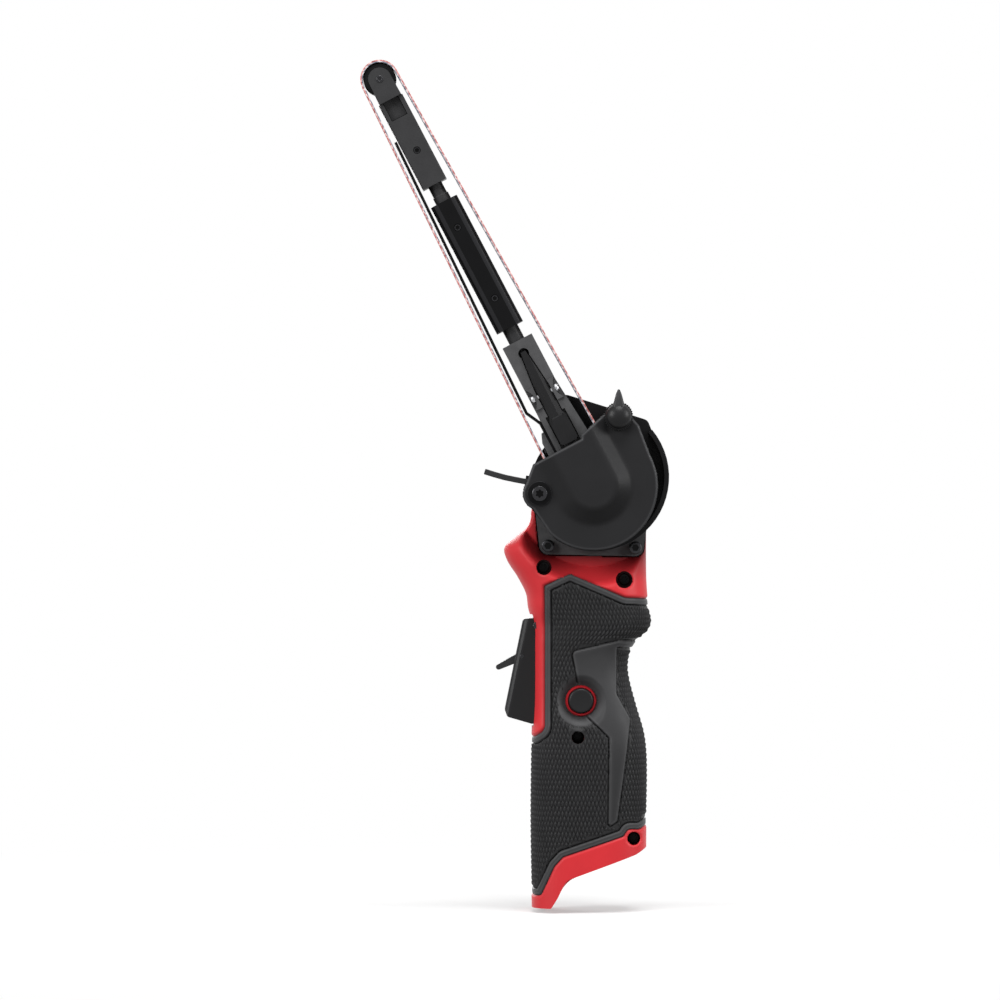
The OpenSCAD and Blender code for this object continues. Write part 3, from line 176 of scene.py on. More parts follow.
def makeFinish(name, look):
    mat = bpy.data.materials.new(name)
    mat.use_nodes = True
    tree = mat.node_tree
    add = partial(addNode, tree)
    base = linear(look["colour"])

    def noise(vector, scale, detail):
        return add("ShaderNodeTexNoise", "Fac", {"Vector": vector, "Scale": scale, "Detail": detail})

    def ranged(value, limits, low=0.0, high=1.0):
        ends = {"From Min": limits[0], "From Max": limits[1], "To Min": low, "To Max": high}
        return add("ShaderNodeMapRange", 0, {"Value": value, **ends})

    def attribute(label):
        return add("ShaderNodeAttribute", "Fac", attribute_name=label)

    def mix(share, first, second):
        return add("ShaderNodeMix", 2, {0: share, 6: first, 7: second}, data_type="RGBA")

    def cloudy(share, colour):
        return mix(share, scaled(colour, 1 - look["mottle"]), scaled(colour, 1 + look["mottle"]))

    coords = add("ShaderNodeTexCoord", "Object")
    grain = noise(coords, look["grainScale"], 2.0)
    colour = cloudy(ranged(noise(coords, look["mottleScale"], 4.0), noiseRange), base)
    if name in frayed:  # paler patches along the run of the belt
        fray = frayed[name]
        along = add("ShaderNodeCombineXYZ", 0, {"X": attribute("along")})
        pale = ranged(noise(along, 1 / (fray["length"] * mm), 1.0), patchRange)
        cut = mix(pale, colour, linear(fray["patch"]))
        colour = mix(attribute("cutEdge"), cloudy(grain, linear(fray["face"])), cut)
    if look["highlightShare"]:  # painted highlight: faces marked in the rim attribute show paler
        highlightAmount = add("ShaderNodeMath", 0, {0: attribute("rim"), 1: look["highlightShare"]}, operation="MULTIPLY")
        colour = mix(highlightAmount, colour, scaled(base, look["edge"]))
    rough, spread = look["rough"], look["spread"]
    feed(tree, tree.nodes["Principled BSDF"], {
        "Base Color": mix(attribute("shade"), colour, scaled(base, paintedShadeDim)),  # painted shade in grooves, deep corners, holes, under the flange and on the panel
        "Roughness": ranged(grain, noiseRange, rough - spread, rough + spread),
        "Normal": add("ShaderNodeBump", 0, {
            "Strength": bumpStrength, "Distance": look["grainDepth"] * mm, "Height": grain,
        }),
        "Metallic": look["metal"], "Specular IOR Level": look["gloss"],
    })
    return mat


materials = {name: makeFinish(name, look) for name, look in finishes.items()}
print("finishes:", len(materials))


# Tools for making meshes

softening = {  # lengths in millimetres, angles in degrees, and the least bend of a chamfered edge in radians
    "weld": 0.002, "flat": 0.6, "angle": 28, "sharp": 60, "longEdge": 20.0, "bend": 0.5,
}


def bareObject(name, mesh):
    obj = bpy.data.objects.new(name, mesh)
    scene.collection.objects.link(obj)
    return obj


def settle(name, mesh, finish, node, crease=35, stretch=None):  # a finished piece in place of its CAD node
    if not mesh.has_custom_normals:
        mesh.set_sharp_from_angle(angle=math.radians(crease))
        for polygon in mesh.polygons:
            polygon.use_smooth = True
    if not mesh.materials:
        mesh.materials.append(materials[finish])
    obj = bareObject(name, mesh)
    if stretch:  # heights on the arm between which the piece gives way as the arm slides
        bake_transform(obj, "head", "sliding_arm", *[armFrame @ Vector((0, 0, height)) for height in stretch])
    else:
        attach(obj, body_of(nodes[node])[0])
    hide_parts(node)


def bakedMesh(obj):  # the evaluated mesh of an object, which is then dropped
    graph = bpy.context.evaluated_depsgraph_get()
    mesh = bpy.data.meshes.new_from_object(obj.evaluated_get(graph))
    bpy.data.objects.remove(obj)
    return mesh


def bmeshOf(*meshes):
    bm = bmesh.new()
    for mesh in meshes:
        bm.from_mesh(mesh)
    return bm


def written(bm, mesh=None, outward=True):
    if outward:
        bmesh.ops.recalc_face_normals(bm, faces=bm.faces)
    mesh = mesh or bpy.data.meshes.new("made")
    bm.to_mesh(mesh)
    bm.free()
    return mesh


def walled(mesh, thickness):  # the mesh with a wall behind its face
    obj = bareObject("wall", mesh)
    wall = obj.modifiers.new("wall", "SOLIDIFY")
    wall.thickness = thickness * mm
    wall.offset = -1
    return bakedMesh(obj)


def rounded(mesh, width, limit=softening["angle"]):  # soft or broken edges, with a painted highlight on the bevels
    mesh.materials.clear()
    for _ in range(2):
        mesh.materials.append(None)
    obj = bareObject("rounding", mesh)
    bevel = obj.modifiers.new("edges", "BEVEL")
    bevel.width = width * mm
    bevel.segments = 2
    bevel.limit_method = "ANGLE"
    bevel.angle_limit = math.radians(limit)
    bevel.use_clamp_overlap = True
    bevel.material = 1
    mesh = bakedMesh(obj)
    # the bevel faces get a painted highlight through the rim attribute
    light = mesh.attributes.get("rim") or mesh.attributes.new("rim", "FLOAT", "FACE")
    for polygon in mesh.polygons:
        polygon.use_smooth = True
        light.data[polygon.index].value = max(light.data[polygon.index].value, polygon.material_index)
        polygon.material_index = 0
    mesh.set_sharp_from_angle(angle=math.radians(softening["sharp"]))
    obj = bareObject("rounding", mesh)
    even = obj.modifiers.new("even", "WEIGHTED_NORMAL")  # keeps the flats flat
    even.keep_sharp = True
    return bakedMesh(obj)


def softCopy(node, finish, width, chamfer=0, limit=softening["angle"]):  # chamfer is for the long edges alone
    bm = bmeshOf(nodes[node].data)
    flat = math.radians(softening["flat"])
    bmesh.ops.remove_doubles(bm, verts=bm.verts, dist=softening["weld"] * mm)
    bmesh.ops.dissolve_limit(bm, angle_limit=flat, verts=bm.verts, edges=bm.edges)
    if chamfer:
        # the chamfers get a painted highlight through the rim attribute
        light = bm.faces.layers.float.new("rim")
        bend, length = softening["bend"], softening["longEdge"] * mm
        edges = [e for e in bm.edges if e.calc_length() > length and e.calc_face_angle(0) > bend]
        made = bmesh.ops.bevel(bm, geom=edges, offset=chamfer * mm, segments=1, profile=0.5, affect="EDGES")
        for face in made["faces"]:
            face[light] = 1.0
    mesh = rounded(written(bm, outward=False), width, limit)
    mesh.materials.clear()
    settle(node + "Soft", mesh, finish, node)


def polar(radius, angle):
    return radius * math.cos(angle), radius * math.sin(angle)


def ringMesh(rings, place, shades=()):  # closed skin over rings of points, where a single point is a pole
    bm = bmesh.new()
    dark = bm.verts.layers.float.new("shade")
    made = [[bm.verts.new(place @ Vector(p)) for p in ring] for ring in rings]
    for ring, value in zip(made, shades):
        for v in ring:
            v[dark] = value
    for low, high in zip(made, made[1:]):
        for k in range(max(len(low), len(high))):
            order = ((low, k), (low, k + 1), (high, k + 1), (high, k))
            bm.faces.new(list(dict.fromkeys(ring[j % len(ring)] for ring, j in order)))
    return written(bm)


def turned(profile, place, steps=64):  # (radius, height) pairs turned about local Z
    return ringMesh([
        [(*polar(radius, math.tau * k / steps), height) for k in range(steps if radius else 1)]
        for radius, height in profile
    ], place)


def prism(outline, low, high, place):  # side-view outline given thickness across the part
    bm = bmesh.new()
    near, far = ([bm.verts.new(place @ Vector((x, y, z))) for x, z in outline] for y in (low, high))
    bm.faces.new(near)
    bm.faces.new(far[::-1])
    for k in range(len(near)):
        n = (k + 1) % len(near)
        bm.faces.new((near[k], far[k], far[n], near[n]))
    return written(bm)


def arcPoints(centre, radius, start, end, steps=12):
    turns = np.radians(np.linspace(start, end, steps + 1))
    return [(centre[0] + radius * math.cos(a), centre[1] + radius * math.sin(a)) for a in turns]


def roundedOutline(corners, steps=6):  # (x, z, radius) corners to a smooth closed outline
    points = []
    for i, (x, z, radius) in enumerate(corners):
        p = np.array((x, z), float)
        if radius == 0:
            points.append(p)
            continue
        u = np.array(corners[i - 1][:2]) - p
        v = np.array(corners[(i + 1) % len(corners)][:2]) - p
        u, v = u / np.linalg.norm(u), v / np.linalg.norm(v)
        half = math.acos(np.clip(u @ v, -1, 1)) / 2
        centre = p + (u + v) / np.linalg.norm(u + v) * radius / math.sin(half)
        start = p + u * radius / math.tan(half) - centre
        first = math.atan2(start[1], start[0])
        turn = -1 if u[0] * v[1] - u[1] * v[0] > 0 else 1
        for k in range(steps + 1):
            points.append(centre + polar(radius, first + turn * (math.pi - 2 * half) * k / steps))
    return np.array(points)


def wrapOutline(circles, steps=16):  # outline pulled tight round circles, anticlockwise
    def sideAngle(a, b):
        dx, dz = b[0] - a[0], b[1] - a[1]
        return math.degrees(math.atan2(dz, dx) - math.acos((a[2] - b[2]) / math.hypot(dx, dz)))

    points = []
    for i, q in enumerate(circles):
        start = sideAngle(circles[i - 1], q)
        end = sideAngle(q, circles[(i + 1) % len(circles)])
        points += arcPoints(q, q[2], start, end + 360 if end < start else end, steps)
    return np.array(points)


def outlineDistance(x, z, outline):  # distance to an outline, negative inside it
    best = np.full(x.shape, np.inf)
    inside = np.zeros(x.shape, bool)
    for (ax, az), (bx, bz) in zip(outline, np.roll(outline, -1, axis=0)):
        dx, dz = bx - ax, bz - az
        share = np.clip(((x - ax) * dx + (z - az) * dz) / (dx * dx + dz * dz + 1e-12), 0, 1)
        best = np.minimum(best, np.hypot(x - ax - share * dx, z - az - share * dz))
        if az != bz:
            inside ^= ((az > z) != (bz > z)) & (x < dx * (z - az) / dz + ax)
    return np.where(inside, -best, best)


def unit(values):
    return np.clip(values, 0, 1)


def fadeOut(distance, width):  # 1 up to the line, 0 beyond the width
    return unit(1 - distance / width)


def smoothMax(a, b, soft):
    share = unit(0.5 + 0.5 * (a - b) / soft)
    return b + (a - b) * share + soft * share * (1 - share)


def sampleGrid(values, row, col):  # bilinear look-up at fractional rows and columns
    lastRow, lastCol = values.shape[0] - 1, values.shape[1] - 1
    row, col = np.clip(row, 0, lastRow), np.clip(col, 0, lastCol)
    r, c = np.minimum(row.astype(int), lastRow - 1), np.minimum(col.astype(int), lastCol - 1)
    fr, fc = row - r, col - c
    low = values[r, c] * (1 - fc) + values[r, c + 1] * fc
    high = values[r + 1, c] * (1 - fc) + values[r + 1, c + 1] * fc
    return low * (1 - fr) + high * fr


def snapGrid(across, along, held, distance):  # moves the nearest grid points onto the line at distance 0
    gap = distance(across, along)
    slopeRow, slopeCol = np.gradient(gap)
    slopeCol[:, 0] = slopeCol[:, -1] = 0
    slopeRow[0] = slopeRow[-1] = 0
    size = slopeRow**2 + slopeCol**2 + 1e-12
    stepRow, stepCol = -gap * slopeRow / size, -gap * slopeCol / size
    near = (np.maximum(abs(stepRow), abs(stepCol)) <= 0.52) & ~held & (size > 1e-6)  # about half a cell
    rows, cols = np.nonzero(near)
    row, col = rows + stepRow[near], cols + stepCol[near]
    across[near], along[near] = sampleGrid(across, row, col), sampleGrid(along, row, col)
    held |= near


def faceCorners(values):  # the four corners of every face of a grid
    return values[:-1, :-1], values[1:, :-1], values[1:, 1:], values[:-1, 1:]


def faceMean(values):
    return sum(faceCorners(values)) / 4


def gridMesh(points, keep, flip, **layers):  # mesh of the kept faces of a grid of points
    rows, cols = keep.shape
    index = np.arange((rows + 1) * (cols + 1)).reshape(rows + 1, cols + 1)
    quads = np.stack(faceCorners(index), axis=-1)[keep]
    if flip:
        quads = quads[:, ::-1]
    used, renumbered = np.unique(quads, return_inverse=True)
    mesh = bpy.data.meshes.new("grid")
    mesh.from_pydata((points.reshape(-1, 3)[used] * mm).tolist(), [], renumbered.reshape(-1, 4).tolist())
    for layer, values in layers.items():
        data = mesh.attributes.new(layer, "FLOAT", "POINT").data
        data.foreach_set("value", values.ravel()[used])
    return mesh


# Geometry Nodes: every tree has named inputs and ends in plain painted meshes

def newTree(name, sockets):
    tree = bpy.data.node_groups.new(name, "GeometryNodeTree")
    for label, kind in sockets.items():
        tree.interface.new_socket(label, in_out="INPUT", socket_type="NodeSocket" + kind)
    tree.interface.new_socket("Result", in_out="OUTPUT", socket_type="NodeSocketGeometry")
    return tree, tree.nodes.new("NodeGroupInput").outputs, partial(addNode, tree)


def endTree(tree, shape, finish):
    plain = addNode(tree, "GeometryNodeRealizeInstances", 0, {"Geometry": shape})
    painted = addNode(tree, "GeometryNodeSetMaterial", 0, {"Geometry": plain, "Material": finish})
    feed(tree, tree.nodes.new("NodeGroupOutput"), {"Result": painted})
    return tree


def scatterTree():  # one shape set out on many points
    tree, given, add = newTree("setOut", {"Places": "Geometry", "Shape": "Object", "Finish": "Material"})
    turn = add("GeometryNodeInputNamedAttribute", "Attribute", {"Name": "turn"}, data_type="FLOAT_VECTOR")
    copies = add("GeometryNodeInstanceOnPoints", 0, {
        "Points": given["Places"],
        "Instance": add("GeometryNodeObjectInfo", "Geometry", {"Object": given["Shape"]}),
        "Rotation": add("FunctionNodeEulerToRotation", 0, {"Euler": turn}),
    })
    return endTree(tree, copies, given["Finish"])


setOutTree = scatterTree()


def runTree(obj, tree, values):
    modifier = obj.modifiers.new(tree.name, "NODES")
    modifier.node_group = tree
    for item in tree.interface.items_tree:
        if item.in_out == "INPUT" and item.name in values:
            modifier[item.identifier] = values[item.name]
    return bakedMesh(obj)


def setOut(shapeMesh, places, turns, finish):  # the shape on every place, as one plain mesh
    shape = bareObject("shape", shapeMesh)
    points = bpy.data.meshes.new("places")
    points.from_pydata([tuple(p) for p in places], [], [])
    turnData = points.attributes.new("turn", "FLOAT_VECTOR", "POINT")
    turnData.data.foreach_set("vector", np.asarray(turns, float).ravel())
    mesh = runTree(bareObject("places", points), setOutTree, {"Shape": shape, "Finish": materials[finish]})
    bpy.data.objects.remove(shape)
    return mesh


def normed(vectors):
    return vectors / np.linalg.norm(vectors, axis=-1, keepdims=True)


def eulersFrom(right, up, out):  # rotations whose columns are these unit vectors
    tilt = np.arcsin(np.clip(-right[:, 2], -1, 1))
    roll = np.arctan2(up[:, 2], out[:, 2])
    yaw = np.arctan2(right[:, 1], right[:, 0])
    return np.stack([roll, tilt, yaw], axis=-1)


# Handle: one lofted form, split into shells and rubber grips

handle = {
    "front": 25.0, "rear": 24.5, "half": 22.0, "top": 173.0,
    "grid": 0.5, "around": 70.0,  # spacing of the surface points, and about how far they run round a half
    "stations": [  # height, front, rear and side outside the nominal section, squareness
        (0, -0.3, -0.3, -0.2, 3.2), (36, 0.3, -0.1, 0.4, 3.2), (62, 0.1, 0.2, 0.2, 3.1),
        (74, -0.2, -0.9, -0.4, 2.9), (86, -0.7, -4.3, -1.3, 2.7), (97, -0.7, -7.2, -2, 2.6),
        (103, -0.7, -7.9, -2.2, 2.6), (109, -0.7, -6.9, -2.1, 2.6), (113.5, -0.7, -4.3, -1.6, 2.6),
        (118, -0.7, 0.4, -1.1, 2.6), (122, -0.3, 2, -1, 2.6), (128, 1.3, 1, -1, 2.7),
        (134, 2.2, 0.3, -1, 2.8), (141, 5.7, -0.1, -1, 2.6), (148.5, 10.4, -0.2, -1, 2.3),
        (154, 11.3, -0.2, -1, 2.2), (158, 7, -0.2, -1, 2.3), (162, 2, -0.2, -1, 2.5),
        (166, 0.2, -0.2, -1, 2.6), (170, -0.2, -0.5, -1.2, 2.6), (173, -2, -2, -3, 2.6),
    ],
    "foot": [(-16.6, 0), (-13.9, 4.3), (-10.9, 10.6), (-9.5, 12.3), (19.8, 23.1), (24.2, 25.8), (45, 38.4)],
    "footBlend": 50.0,  # height over which the grid follows the slanted foot
    "seamDepth": 0.22, "seamWidth": 0.5,
    "bay": {"rear": 5.5, "side": (-10.5, -8.8), "radius": 9.4, "depth": 68.0},
    "slot": {"half": 9.0, "low": 77.3, "high": 125.2, "back": -13.5, "front": -15.0},
    "screws": [(-19.7, 145.3, 3.3), (14.8, 140.1, 3.65), (-5.2, 73.1, 2.8), (18.9, 29.9, 2.9)],
    "screwSeat": -9.5, "screwLip": 0.35, "screwLipWidth": 0.6, "screwShade": 3.5,
    "pocket": {"low": 34.5, "slope": 2.0, "floor": -5.3, "flangeFloor": -2.4, "soft": 5.0},
    "lugs": [(-17.8, 154.5), (19.5, 153.7)],
    "flangeRadius": 25.5, "lugRadius": 3.7, "flangeFit": 0.3,
    "flangeShade": 0.82, "flangeShadeReach": 11.0, "gripShade": 0.55,
}
grip = {
    "outline": [
        (-45, 72.6, 0), (-24.6, 72.8, 2), (-19.7, 76, 4), (-19.7, 137.4, 1.2), (-8.55, 142.6, 2),
        (15.1, 132.5, 5), (45, 131, 0), (45, 42, 0), (24.3, 35.1, 2), (21.4, 33.7, 2), (16.4, 33.9, 2.2),
        (14.4, 30.9, 1.5), (-11.5, 22.1, 2), (-15.3, 18, 3), (-21.3, 5.5, 2), (-45, 5.5, 0),
    ],
    "panel": [
        (30, 113.6, 0), (19.6, 113.6, 2), (11.9, 114, 3), (-6.8, 109.8, 1.2), (-7.7, 108.1, 1),
        (-5.1, 95.3, 2), (-3.8, 88.5, 0), (-0.9, 81.7, 2), (8.1, 72.8, 0.6), (7.7, 36.2, 0.6),
        (8.5, 34.9, 0.5), (11.9, 37.2, 1), (12.3, 40, 1), (15.7, 63.4, 4), (17.9, 80.8, 2),
        (11.9, 91.5, 1.5), (11.9, 111.1, 0.8), (17.9, 110.6, 2), (30, 110.6, 0),
    ],
    "panelShade": [(40, 0.4), (63, 0.34), (84, 0), (97, 0), (109, 0.24)],  # height and how much painted shade the panel gets
    "panelShadeWidth": 2.5, "band": 3.0, "thickness": 1.2, "bedDepth": 1.5, "bedWidth": 0.5,
    "edge": -0.75, "edgeWidth": 0.8, "shellEdgeWidth": 1.1,
    "bandLevel": -0.3, "textureLevel": -0.6, "panelLevel": -0.2, "textureShade": 0.5, "rimShade": 0.5,
    "groove": 0.65, "grooveWidth": 0.5, "litAway": 0.25, "litWidth": 0.4,
    "scaleWidth": 1.62, "scaleRow": 2.2, "scaleHeight": 0.62, "scaleSink": 0.9, "scaleLift": 0.35,
    "scaleFill": 0.98, "scaleTip": 0.12, "scaleBed": 0.06,
}
button = {
    "x": -3.8, "z": 88.5, "radius": 5.35, "reach": 18.5, "bezel": 6.65, "ringLow": 15.9, "ringHigh": 17.3,
    "floor": 16.5, "inner": 6.9, "slope": 5 / 5.5, "dishSoft": 0.7, "boss": 14.4, "bossRadius": 13.0,
    "hole": 6.0, "grooveEnd": 7.3, "smooth": 10.4,  # no texture inside the smooth radius
    # share and width of the painted highlight ring round the dish
    "litShare": 0.5, "litWidth": 1.3,
}


def stationValues(z):  # front, rear, side and squareness at each height, as smooth curves
    table = np.array(handle["stations"], float)
    heights = table[:, 0]
    last = len(table) - 1
    rise = np.array([table[min(i + 1, last)] - table[max(i - 1, 0)] for i in range(last + 1)])
    slopes = rise / rise[:, :1]
    i = np.clip(np.searchsorted(heights, z, side="right") - 1, 0, last - 1)
    span = (heights[i + 1] - heights[i])[..., None]
    f = (z - heights[i])[..., None] / span
    values = (
        table[i] * (1 + 2 * f) * (1 - f) ** 2 + table[i + 1] * f * f * (3 - 2 * f)
        + slopes[i] * span * f * (1 - f) ** 2 - slopes[i + 1] * span * f * f * (1 - f)
    )
    return [values[..., k] for k in range(1, 5)]


def sectionPoint(angle, z):
    front, rear, side, square = stationValues(z)
    low, high = -handle["front"] - front, handle["rear"] + rear
    bow = np.sign(np.cos(angle)) * abs(np.cos(angle)) ** (2 / square)
    x = (low + high) / 2 + (high - low) / 2 * bow
    y = -(handle["half"] + side) * abs(np.sin(angle)) ** (2 / square)
    return x, y


# Table of the angle at each share of the way round, so that grid points lie evenly
tableHeights = np.arange(0, handle["top"] + 1, 1.0)
tableAngles = np.linspace(0, math.pi, 1081)
tableX, tableY = sectionPoint(tableAngles[None, :], np.repeat(tableHeights[:, None], len(tableAngles), 1))
tableRun = np.concatenate([
    np.zeros((len(tableHeights), 1)), np.cumsum(np.hypot(np.diff(tableX), np.diff(tableY)), axis=1)
], axis=1)
halfGirth = tableRun[:, -1]
tableShares = np.linspace(0, 1, 601)
angleTable = np.array([np.interp(tableShares, run / run[-1], tableAngles) for run in tableRun])
middleShare = np.array([np.interp(math.pi / 2, tableAngles, run / run[-1]) for run in tableRun])

gripOutline = roundedOutline(grip["outline"])
panelOutline = roundedOutline(grip["panel"])
flangeOutline = wrapOutline([
    (x, z, radius + handle["flangeFit"])
    for x, z, radius in [(spindle["x"], spindle["z"], handle["flangeRadius"])]
    + [(x, z, handle["lugRadius"]) for x, z in handle["lugs"]]
])


def loftPoint(u, z):  # u runs from the rear parting line to the front one
    angle = sampleGrid(angleTable, z, unit(u) * (len(tableShares) - 1))
    return sectionPoint(angle, z)


def footHeight(x):
    xs, zs = zip(*handle["foot"])
    return np.where(x < xs[0], 0, np.interp(x, xs, zs))


def fromButton(x, z):
    return np.hypot(x - button["x"], z - button["z"])


def dishedPoint(u, z):  # loft with the dish round the direction button
    x, y = loftPoint(u, z)
    dish = -button["floor"] - np.clip(fromButton(x, z) - button["inner"], 0, None) * button["slope"]
    return x, smoothMax(y, dish, button["dishSoft"])


def surfaceFrame(u, z, point):  # position, outward normal and upward tangent
    du, dz, top = 0.002, 0.2, handle["top"]

    def at(share, height):
        return np.stack([*point(share, height), height], axis=-1)

    around = at(unit(u + du), z) - at(unit(u - du), z)
    upward = at(u, np.clip(z + dz, 0, top)) - at(u, np.clip(z - dz, 0, top))
    return at(u, z), normed(np.cross(upward, around)), normed(upward)


def slotDistance(u, z):  # trigger slot, which is in the front alone
    slot = handle["slot"]
    gap = np.maximum(-slot["half"] - loftPoint(u, z)[1], np.maximum(slot["low"] - z, z - slot["high"]))
    return np.where(u > 0.5, gap, 40.0)


def lineDistance(outline, u, z):
    return outlineDistance(loftPoint(u, z)[0], z, outline)


gripDistance = partial(lineDistance, gripOutline)
panelDistance = partial(lineDistance, panelOutline)


def holeDistance(u, z, hole):
    return np.hypot(loftPoint(u, z)[0] - hole[0], z - hole[1]) - hole[2]


def screwHoles(near):  # the screws go in from the near side
    return handle["screws"] if near else []


def keptOff(keep, u, z, near):  # drops the faces that lie in a screw hole
    for hole in screwHoles(near):
        keep &= faceMean(holeDistance(u, z, hole)) > 0
    return keep


def handleGrid(near):  # grid of the half, with its points drawn onto the lines of the design
    cols, rows = round(handle["around"] / handle["grid"]), round(handle["top"] / handle["grid"])
    u = np.tile(np.linspace(0, 1, cols + 1), (rows + 1, 1))
    base = np.tile(np.linspace(0, handle["top"], rows + 1)[:, None], (1, cols + 1))
    rise = np.zeros(cols + 1)
    for _ in range(40):  # settles on the slanted foot
        rise = 0.5 * rise + 0.5 * footHeight(loftPoint(u[0], rise)[0])
    z = base + rise * fadeOut(base, handle["footBlend"])
    held = np.zeros(u.shape, bool)
    lines = [slotDistance] + [partial(holeDistance, hole=hole) for hole in screwHoles(near)]
    lines += [gripDistance, lambda a, b: gripDistance(a, b) + grip["band"], panelDistance]
    for line in lines:
        snapGrid(u, z, held, line)
    return u, z


def seam(y):  # fine line where the two shells meet
    return -handle["seamDepth"] * fadeOut(abs(y), handle["seamWidth"])


def shellPoints(u, z, near):
    points, normal, _ = surfaceFrame(u, z, loftPoint)
    rim = gripDistance(u, z)
    level = np.where(
        rim >= 0,
        grip["edge"] * fadeOut(rim, grip["shellEdgeWidth"]) ** 2,
        grip["edge"] - grip["bedDepth"] * unit(-rim / grip["bedWidth"]),
    )
    level = level + seam(points[..., 1])
    for hole in screwHoles(near):
        level = level - handle["screwLip"] * fadeOut(holeDistance(u, z, hole), handle["screwLipWidth"]) ** 2
    points = points + normal * level[..., None]
    x, y = points[..., 0], points[..., 1]
    y = np.where(fromButton(x, z) < button["bossRadius"], np.maximum(y, -button["boss"]), y)
    if near:  # hollow under the gear case
        pocket = handle["pocket"]
        reach = np.hypot(x - spindle["x"], z - spindle["z"])
        cone = pocket["floor"] - pocket["slope"] * np.clip(reach - pocket["low"], 0, None)
        y = np.where(y < cone + pocket["soft"] + 1, smoothMax(y, cone, pocket["soft"]), y)
        y = np.where(outlineDistance(x, z, flangeOutline) < 0, np.maximum(y, pocket["flangeFloor"]), y)
    return np.stack([x, np.minimum(y, 0), points[..., 2]], axis=-1)


def gripPoints(u, z):  # positions, the painted shade at each one, and the painted highlights beside the grooves and round the dish
    points, normal, _ = surfaceFrame(u, z, dishedPoint)
    rim, panel = gripDistance(u, z), panelDistance(u, z)
    band, width = grip["band"], grip["grooveWidth"]
    level = grip["bandLevel"] + (grip["edge"] - grip["bandLevel"]) * fadeOut(-rim, grip["edgeWidth"]) ** 2
    inner = rim < -band + 0.01
    level = np.where(inner, np.where(panel < 0, grip["panelLevel"], grip["textureLevel"]), level)
    away = fromButton(points[..., 0], z)
    line = np.maximum(fadeOut(abs(rim + band), width), np.where(inner, fadeOut(abs(panel), width), 0))
    line = np.where(away > button["grooveEnd"], line, 0)
    level = level - grip["groove"] * line + seam(points[..., 1])
    # painted shade in the grooves, at the grip's edge and over the textured part
    textured = np.where(inner & (panel > 0) & (away > button["smooth"]), grip["textureShade"], 0)
    shade = np.maximum(np.maximum(line, grip["rimShade"] * fadeOut(-rim, 0.5)), textured)
    beside = np.minimum(abs(rim + band), abs(rim + 0.5) + 0.4)
    beside = np.minimum(beside, np.where(inner, abs(panel), 9))
    light = fadeOut(abs(beside - width - grip["litAway"]), grip["litWidth"]) * (shade < 0.1)
    # painted highlight ring round the button dish
    ring = fadeOut(abs(away - button["smooth"] + 1), button["litWidth"])
    light = np.maximum(light, button["litShare"] * ring)
    # painted shade along the panel, darker towards its ends
    fade = np.interp(z, *zip(*grip["panelShade"])) * unit(-panel / grip["panelShadeWidth"])
    shade = np.maximum(shade, np.where(inner, fade, 0))
    return points + normal * level[..., None], shade, light


def boundaryWhere(bm, test):
    return [e for e in bm.edges if e.is_boundary and all(test(v.co / mm) for v in e.verts)]


def pushIn(bm, edges, axis, value):  # walls from an open edge to a flat plane, with the far points
    made = bmesh.ops.extrude_edge_only(bm, edges=edges)["geom"]
    verts = [g for g in made if isinstance(g, bmesh.types.BMVert)]
    for v in verts:
        v.co[axis] = value * mm
    return verts, [g for g in made if isinstance(g, bmesh.types.BMEdge) and g.is_boundary]


def bayRim(count, side):  # half outline of the battery bay, from the rear to the front
    bay = handle["bay"]
    rx, (sx, sy), radius = bay["rear"], bay["side"], bay["radius"]
    lean = math.degrees(math.atan2(-(rx - sx), -sy))
    points = arcPoints((rx, 0), radius, 0, lean, 24) + arcPoints((sx, sy), radius, lean, -180, 40)
    points = np.array(points + [(sx - radius, 0)])
    run = np.concatenate([[0], np.cumsum(np.hypot(*np.diff(points, axis=0).T))])
    even = np.linspace(0, run[-1], count)
    return np.interp(even, run, points[:, 0]), side * -np.interp(even, run, points[:, 1])


def placeKey(values):
    return tuple(round(float(c), 3) for c in values)


def shellShade(u, z, points, near):  # painted shade beside the grip, under the flange and in holes
    shade = handle["gripShade"] * fadeOut(gripDistance(u, z), 1.0)
    if near:
        away = outlineDistance(points[..., 0], points[..., 2], flangeOutline)
        under = unit((points[..., 0] + 26) / 5)  # fades out on the bulge in front
        flange = under * fadeOut(away, handle["flangeShadeReach"]) ** 1.2
        shade = np.maximum(shade, handle["flangeShade"] * flange)
    for hole in handle["screws"]:
        if outlineDistance(np.array(hole[0]), np.array(hole[1]), gripOutline) < 0:
            shade = np.maximum(shade, (holeDistance(u, z, hole) < handle["screwShade"]) * 1.0)
    return shade


